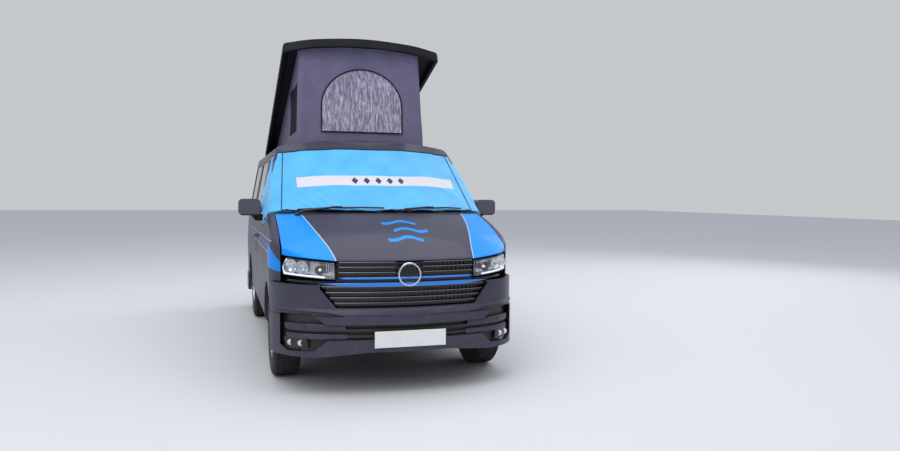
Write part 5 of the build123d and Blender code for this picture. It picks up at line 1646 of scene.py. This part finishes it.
for side_name, side in SIDES:
    coil = []
    for turn in [0.3 * step_number for step_number in range(126)]:
        x, y = side * SPRING_X + SPRING_RADIUS * cos(turn), front_axle.y + SPRING_RADIUS * sin(turn)
        coil.append(Vector((x, y, SPRING_FOOT + turn * SPRING_RISE)))
    new_piece(f"front_spring_{side_name}", *tube(coil, 0.0065, 6), forged, slot="dark_metal")

# Behind the outer skin the doors, walls and engine bay are lined with plain moulded panels, and each
# wheel arch is closed by the turned-in edge of its wing.
# Linings: name, how far aft they start and end, foot, and head
LININGS = [("front_door", 0.5, 1.37, 0.4, 1.12), ("wall", 1.62, 3.6, 0.5, 1.15),
           ("inner_wing", -0.43, 0.3, 0.78, 1.0)]
ARCH_LIP_RADIUS, ARCH_LIP_INNER, ARCH_LIP_OUTER, ARCH_LIP_THICK = 0.3992, 0.866, 0.944, 0.004
trim_grey = dull_finish("lining_grey", (0.05, 0.05, 0.054, 1), 0.65, scale=240, depth=0.0006)


def from_inside(surface, side, y, z, stand):
    """The place where a line going out from the van's middle meets a surface."""
    place = surface.ray_cast(Vector((side * 0.3, y, z)), Vector((side, 0, 0)))[0]
    return place and place - Vector((side * stand, 0, 0))


def lining_corner(v):
    """How far a lining's ends draw in near its foot and head, which rounds its corners."""
    past = abs(2 * v - 1) - 0.8
    return 0.05 * (1 - sqrt(1 - past**2 * 25 * 0.99)) if past > 0 else 0


def lining_foot(y, low):
    """How low a lining reaches at a place along the van: to its own foot, or just over the rear arch."""
    return max(low, rear_axle.z + sqrt(max(0, (ARCH_LIP_RADIUS + 0.02) ** 2 - (y - rear_axle.y) ** 2)))


for side_name, side in SIDES:
    door, wing, flank = (f"{panel}_{side_name}" for panel in ("front_door", "front_wing", "body_side"))
    nodes_behind = {
        "front_door": [door], "inner_wing": [wing, flank], "wall": [flank] + ["sliding_door"] * (side > 0)}
    for part, start, end, low, high in LININGS:
        skin = surface_of(*nodes_behind[part])
        rows = []
        for v in span(0, 1, 14):
            row = []
            for u in span(0, 1, 40):
                y = aft(start + lining_corner(v) + (end - start - 2 * lining_corner(v)) * u)
                z = lining_foot(y, low) + (high - lining_foot(y, low)) * v
                hit = from_inside(skin, side, y, z, 0.004)
                row.append(Vector((hit.x if hit and abs(hit.x) > 0.7 else side * 0.93, y, z)))
            xs = [abs(p.x) for p in row]
            rows.append([Vector((side * min(xs[max(0, k - 2):k + 3]), p.y, p.z)) for k, p in enumerate(row)])
        body = f"door_{side_name}" if part == "front_door" else "body"
        new_piece(f"{part}_lining_{side_name}", *slab(rows, 0.005 * -side), trim_grey, body, "dark_trim")
    door_skin = surface_of(door)
    rest = [from_inside(door_skin, side, aft(a), 0.93 + 0.02 * (a - 0.7), 0.03) for a in span(0.72, 1.28, 12)]
    rest = tube(rest, [0.012, 0.024] + [0.027] * 8 + [0.024, 0.012], 14, flat=1.2)
    new_piece(f"door_armrest_{side_name}", *rest, seat_side, f"door_{side_name}", "dark_trim")
    pull = [from_inside(door_skin, side, aft(a), 1.04, stand)
            for a, stand in ((0.62, 0.006), (0.63, 0.02), (0.7, 0.024), (0.71, 0.01))]
    new_piece(f"door_pull_{side_name}", *tube(pull, 0.006, 10), chrome, f"door_{side_name}", "dark_trim")
    for end, axle in (("front", front_axle), ("rear", rear_axle)):
        skin = surface_of(*([wing, flank, door] if end == "front" else [flank]))
        rows = []
        for angle in span(radians(7), radians(173), 70):
            near, far = ARCH_LIP_RADIUS, ARCH_LIP_RADIUS + ARCH_LIP_THICK
            middle = (near + far) / 2
            y, z = axle.y + middle * cos(angle), axle.z + middle * sin(angle)
            hit = skin.ray_cast(Vector((side * 0.8, y, z)), Vector((side, 0, 0)))[0]
            edge = min(ARCH_LIP_OUTER, abs(hit.x) - 0.0005) if hit and abs(hit.x) > 0.9 else 0.93
            corners = ((ARCH_LIP_INNER, near), (edge, near), (edge, far), (ARCH_LIP_INNER, far))
            rows.append(
                [Vector((side * x, axle.y + r * cos(angle), axle.z + r * sin(angle))) for x, r in corners])
        new_piece(f"arch_lip_{end}_{side_name}", *capped(rows), underseal, slot="underseal")

# Under the bonnet a plastic cover sits on the engine, with the battery, the air box and the coolant and
# washer bottles round it. A finned radiator and a cross bar stand behind the grille.
# Lathe forms: radius, and distance along the axis
FLASK = [(0, 0.07), (0.018, 0.07), (0.022, 0.062), (0.022, 0.05), (0.05, 0.04), (0.058, 0.02), (0.058, -0.03),
         (0.045, -0.045), (0, -0.05)]
FLASK_CAP = [(0, 0.09), (0.02, 0.089), (0.026, 0.084), (0.026, 0.066), (0, 0.066)]
FILLER_NECK = [(0, 0.06), (0.024, 0.058), (0.026, 0.05), (0.02, 0.046), (0.02, -0.04), (0, -0.04)]
BATTERY_POST = [(0, 0.016), (0.008, 0.016), (0.009, 0.0), (0.014, -0.002), (0, -0.004)]
AIR_HOSE = [(-0.4, -0.24, 0.86), (-0.36, -0.32, 0.9), (-0.28, -0.4, 0.915), (-0.2, -0.46, 0.9)]
bottle_white = dull_finish(
    "bottle_white", (0.55, 0.55, 0.5, 1), 0.4, scale=120, depth=0.0002, Subsurface_Weight=0.2)


def moulded_box(name, low, high, finish, radius=0.02, slot="black_plastic"):
    """A box with rounded corners and a softened top edge."""
    outline = rounded_outline((low[0], low[1]), (high[0], high[1]), radius, 5)
    edge = min(0.008, radius * 0.5)
    box = bevelled_plate(outline, lambda u, v, w: Vector((u, aft(v), low[2] + w)), high[2] - low[2], edge)
    return new_piece(name, *box, finish, slot=slot)


moulded_box("engine_cover", (-0.25, -0.6, 0.866), (0.25, -0.1, 0.9), matt_black, 0.05)
for number, x in enumerate((-0.12, 0, 0.12)):
    rib = tube([Vector((x, aft(a), 0.9)) for a in span(-0.54, -0.16, 8)], [0.001] + [0.007] * 6 + [0.001], 10)
    new_piece(f"engine_cover_rib_{number + 1}", *rib, matt_black, slot="black_plastic")
moulded_box("battery", (0.34, -0.24, 0.76), (0.58, -0.06, 0.93), matt_black, 0.012)
moulded_box("battery_lid", (0.336, -0.244, 0.93), (0.584, -0.056, 0.945), lamp_dark, 0.014)
for name, x in (("battery_post_plus", 0.39), ("battery_post_minus", 0.53)):
    new_piece(name, *turned(BATTERY_POST, (x, aft(-0.15), 0.946), (0, 0, 1), 18), zinc, slot="cast_metal")
moulded_box("air_box", (-0.58, -0.26, 0.77), (-0.34, -0.04, 0.91), matt_black, 0.03)
hose = [Vector((x, aft(back), z)) for x, back, z in AIR_HOSE]
new_piece("air_hose", *tube(hose, [0.03, 0.032, 0.032, 0.03], 16), rubber, slot="black_plastic")
flask_at, neck_at = (-0.42, aft(-0.42), 0.83), (0.46, aft(-0.42), 0.84)
new_piece("coolant_bottle", *turned(FLASK, flask_at, (0, 0, 1), 32), bottle_white, slot="black_plastic")
new_piece("coolant_cap", *turned(FLASK_CAP, flask_at, (0, 0, 1), 20), matt_black, slot="black_plastic")
new_piece("washer_neck", *turned(FILLER_NECK, neck_at, (0, 0, 1), 24), bottle_white, slot="black_plastic")
moulded_box("lock_carrier", (-0.5, -0.73, 0.925), (0.5, -0.69, 0.945), matt_black, 0.012)
RADIATOR = [(-0.44, 0.52), (0.44, 0.52), (0.44, 0.9), (-0.44, 0.9)]
rows = [[Vector((x, aft(-0.7) + dy, z)) for x, z in RADIATOR] for dy in (0, 0.03)]
finned, fin_tree, fin_shader = new_finish("radiator_fins", (0.05, 0.05, 0.052, 1), 0.4, Metallic=0.8)
fins = {"Vector": object_place(fin_tree)[0], "Scale": 120.0}
fins = tree_node(fin_tree, "ShaderNodeTexWave", fins, bands_direction="Z")
raise_bump(fin_tree, fin_shader, fins.outputs[1], 0.002, 0.8)
new_piece("radiator", *capped(rows), finned, slot="cast_metal", smooth=False)
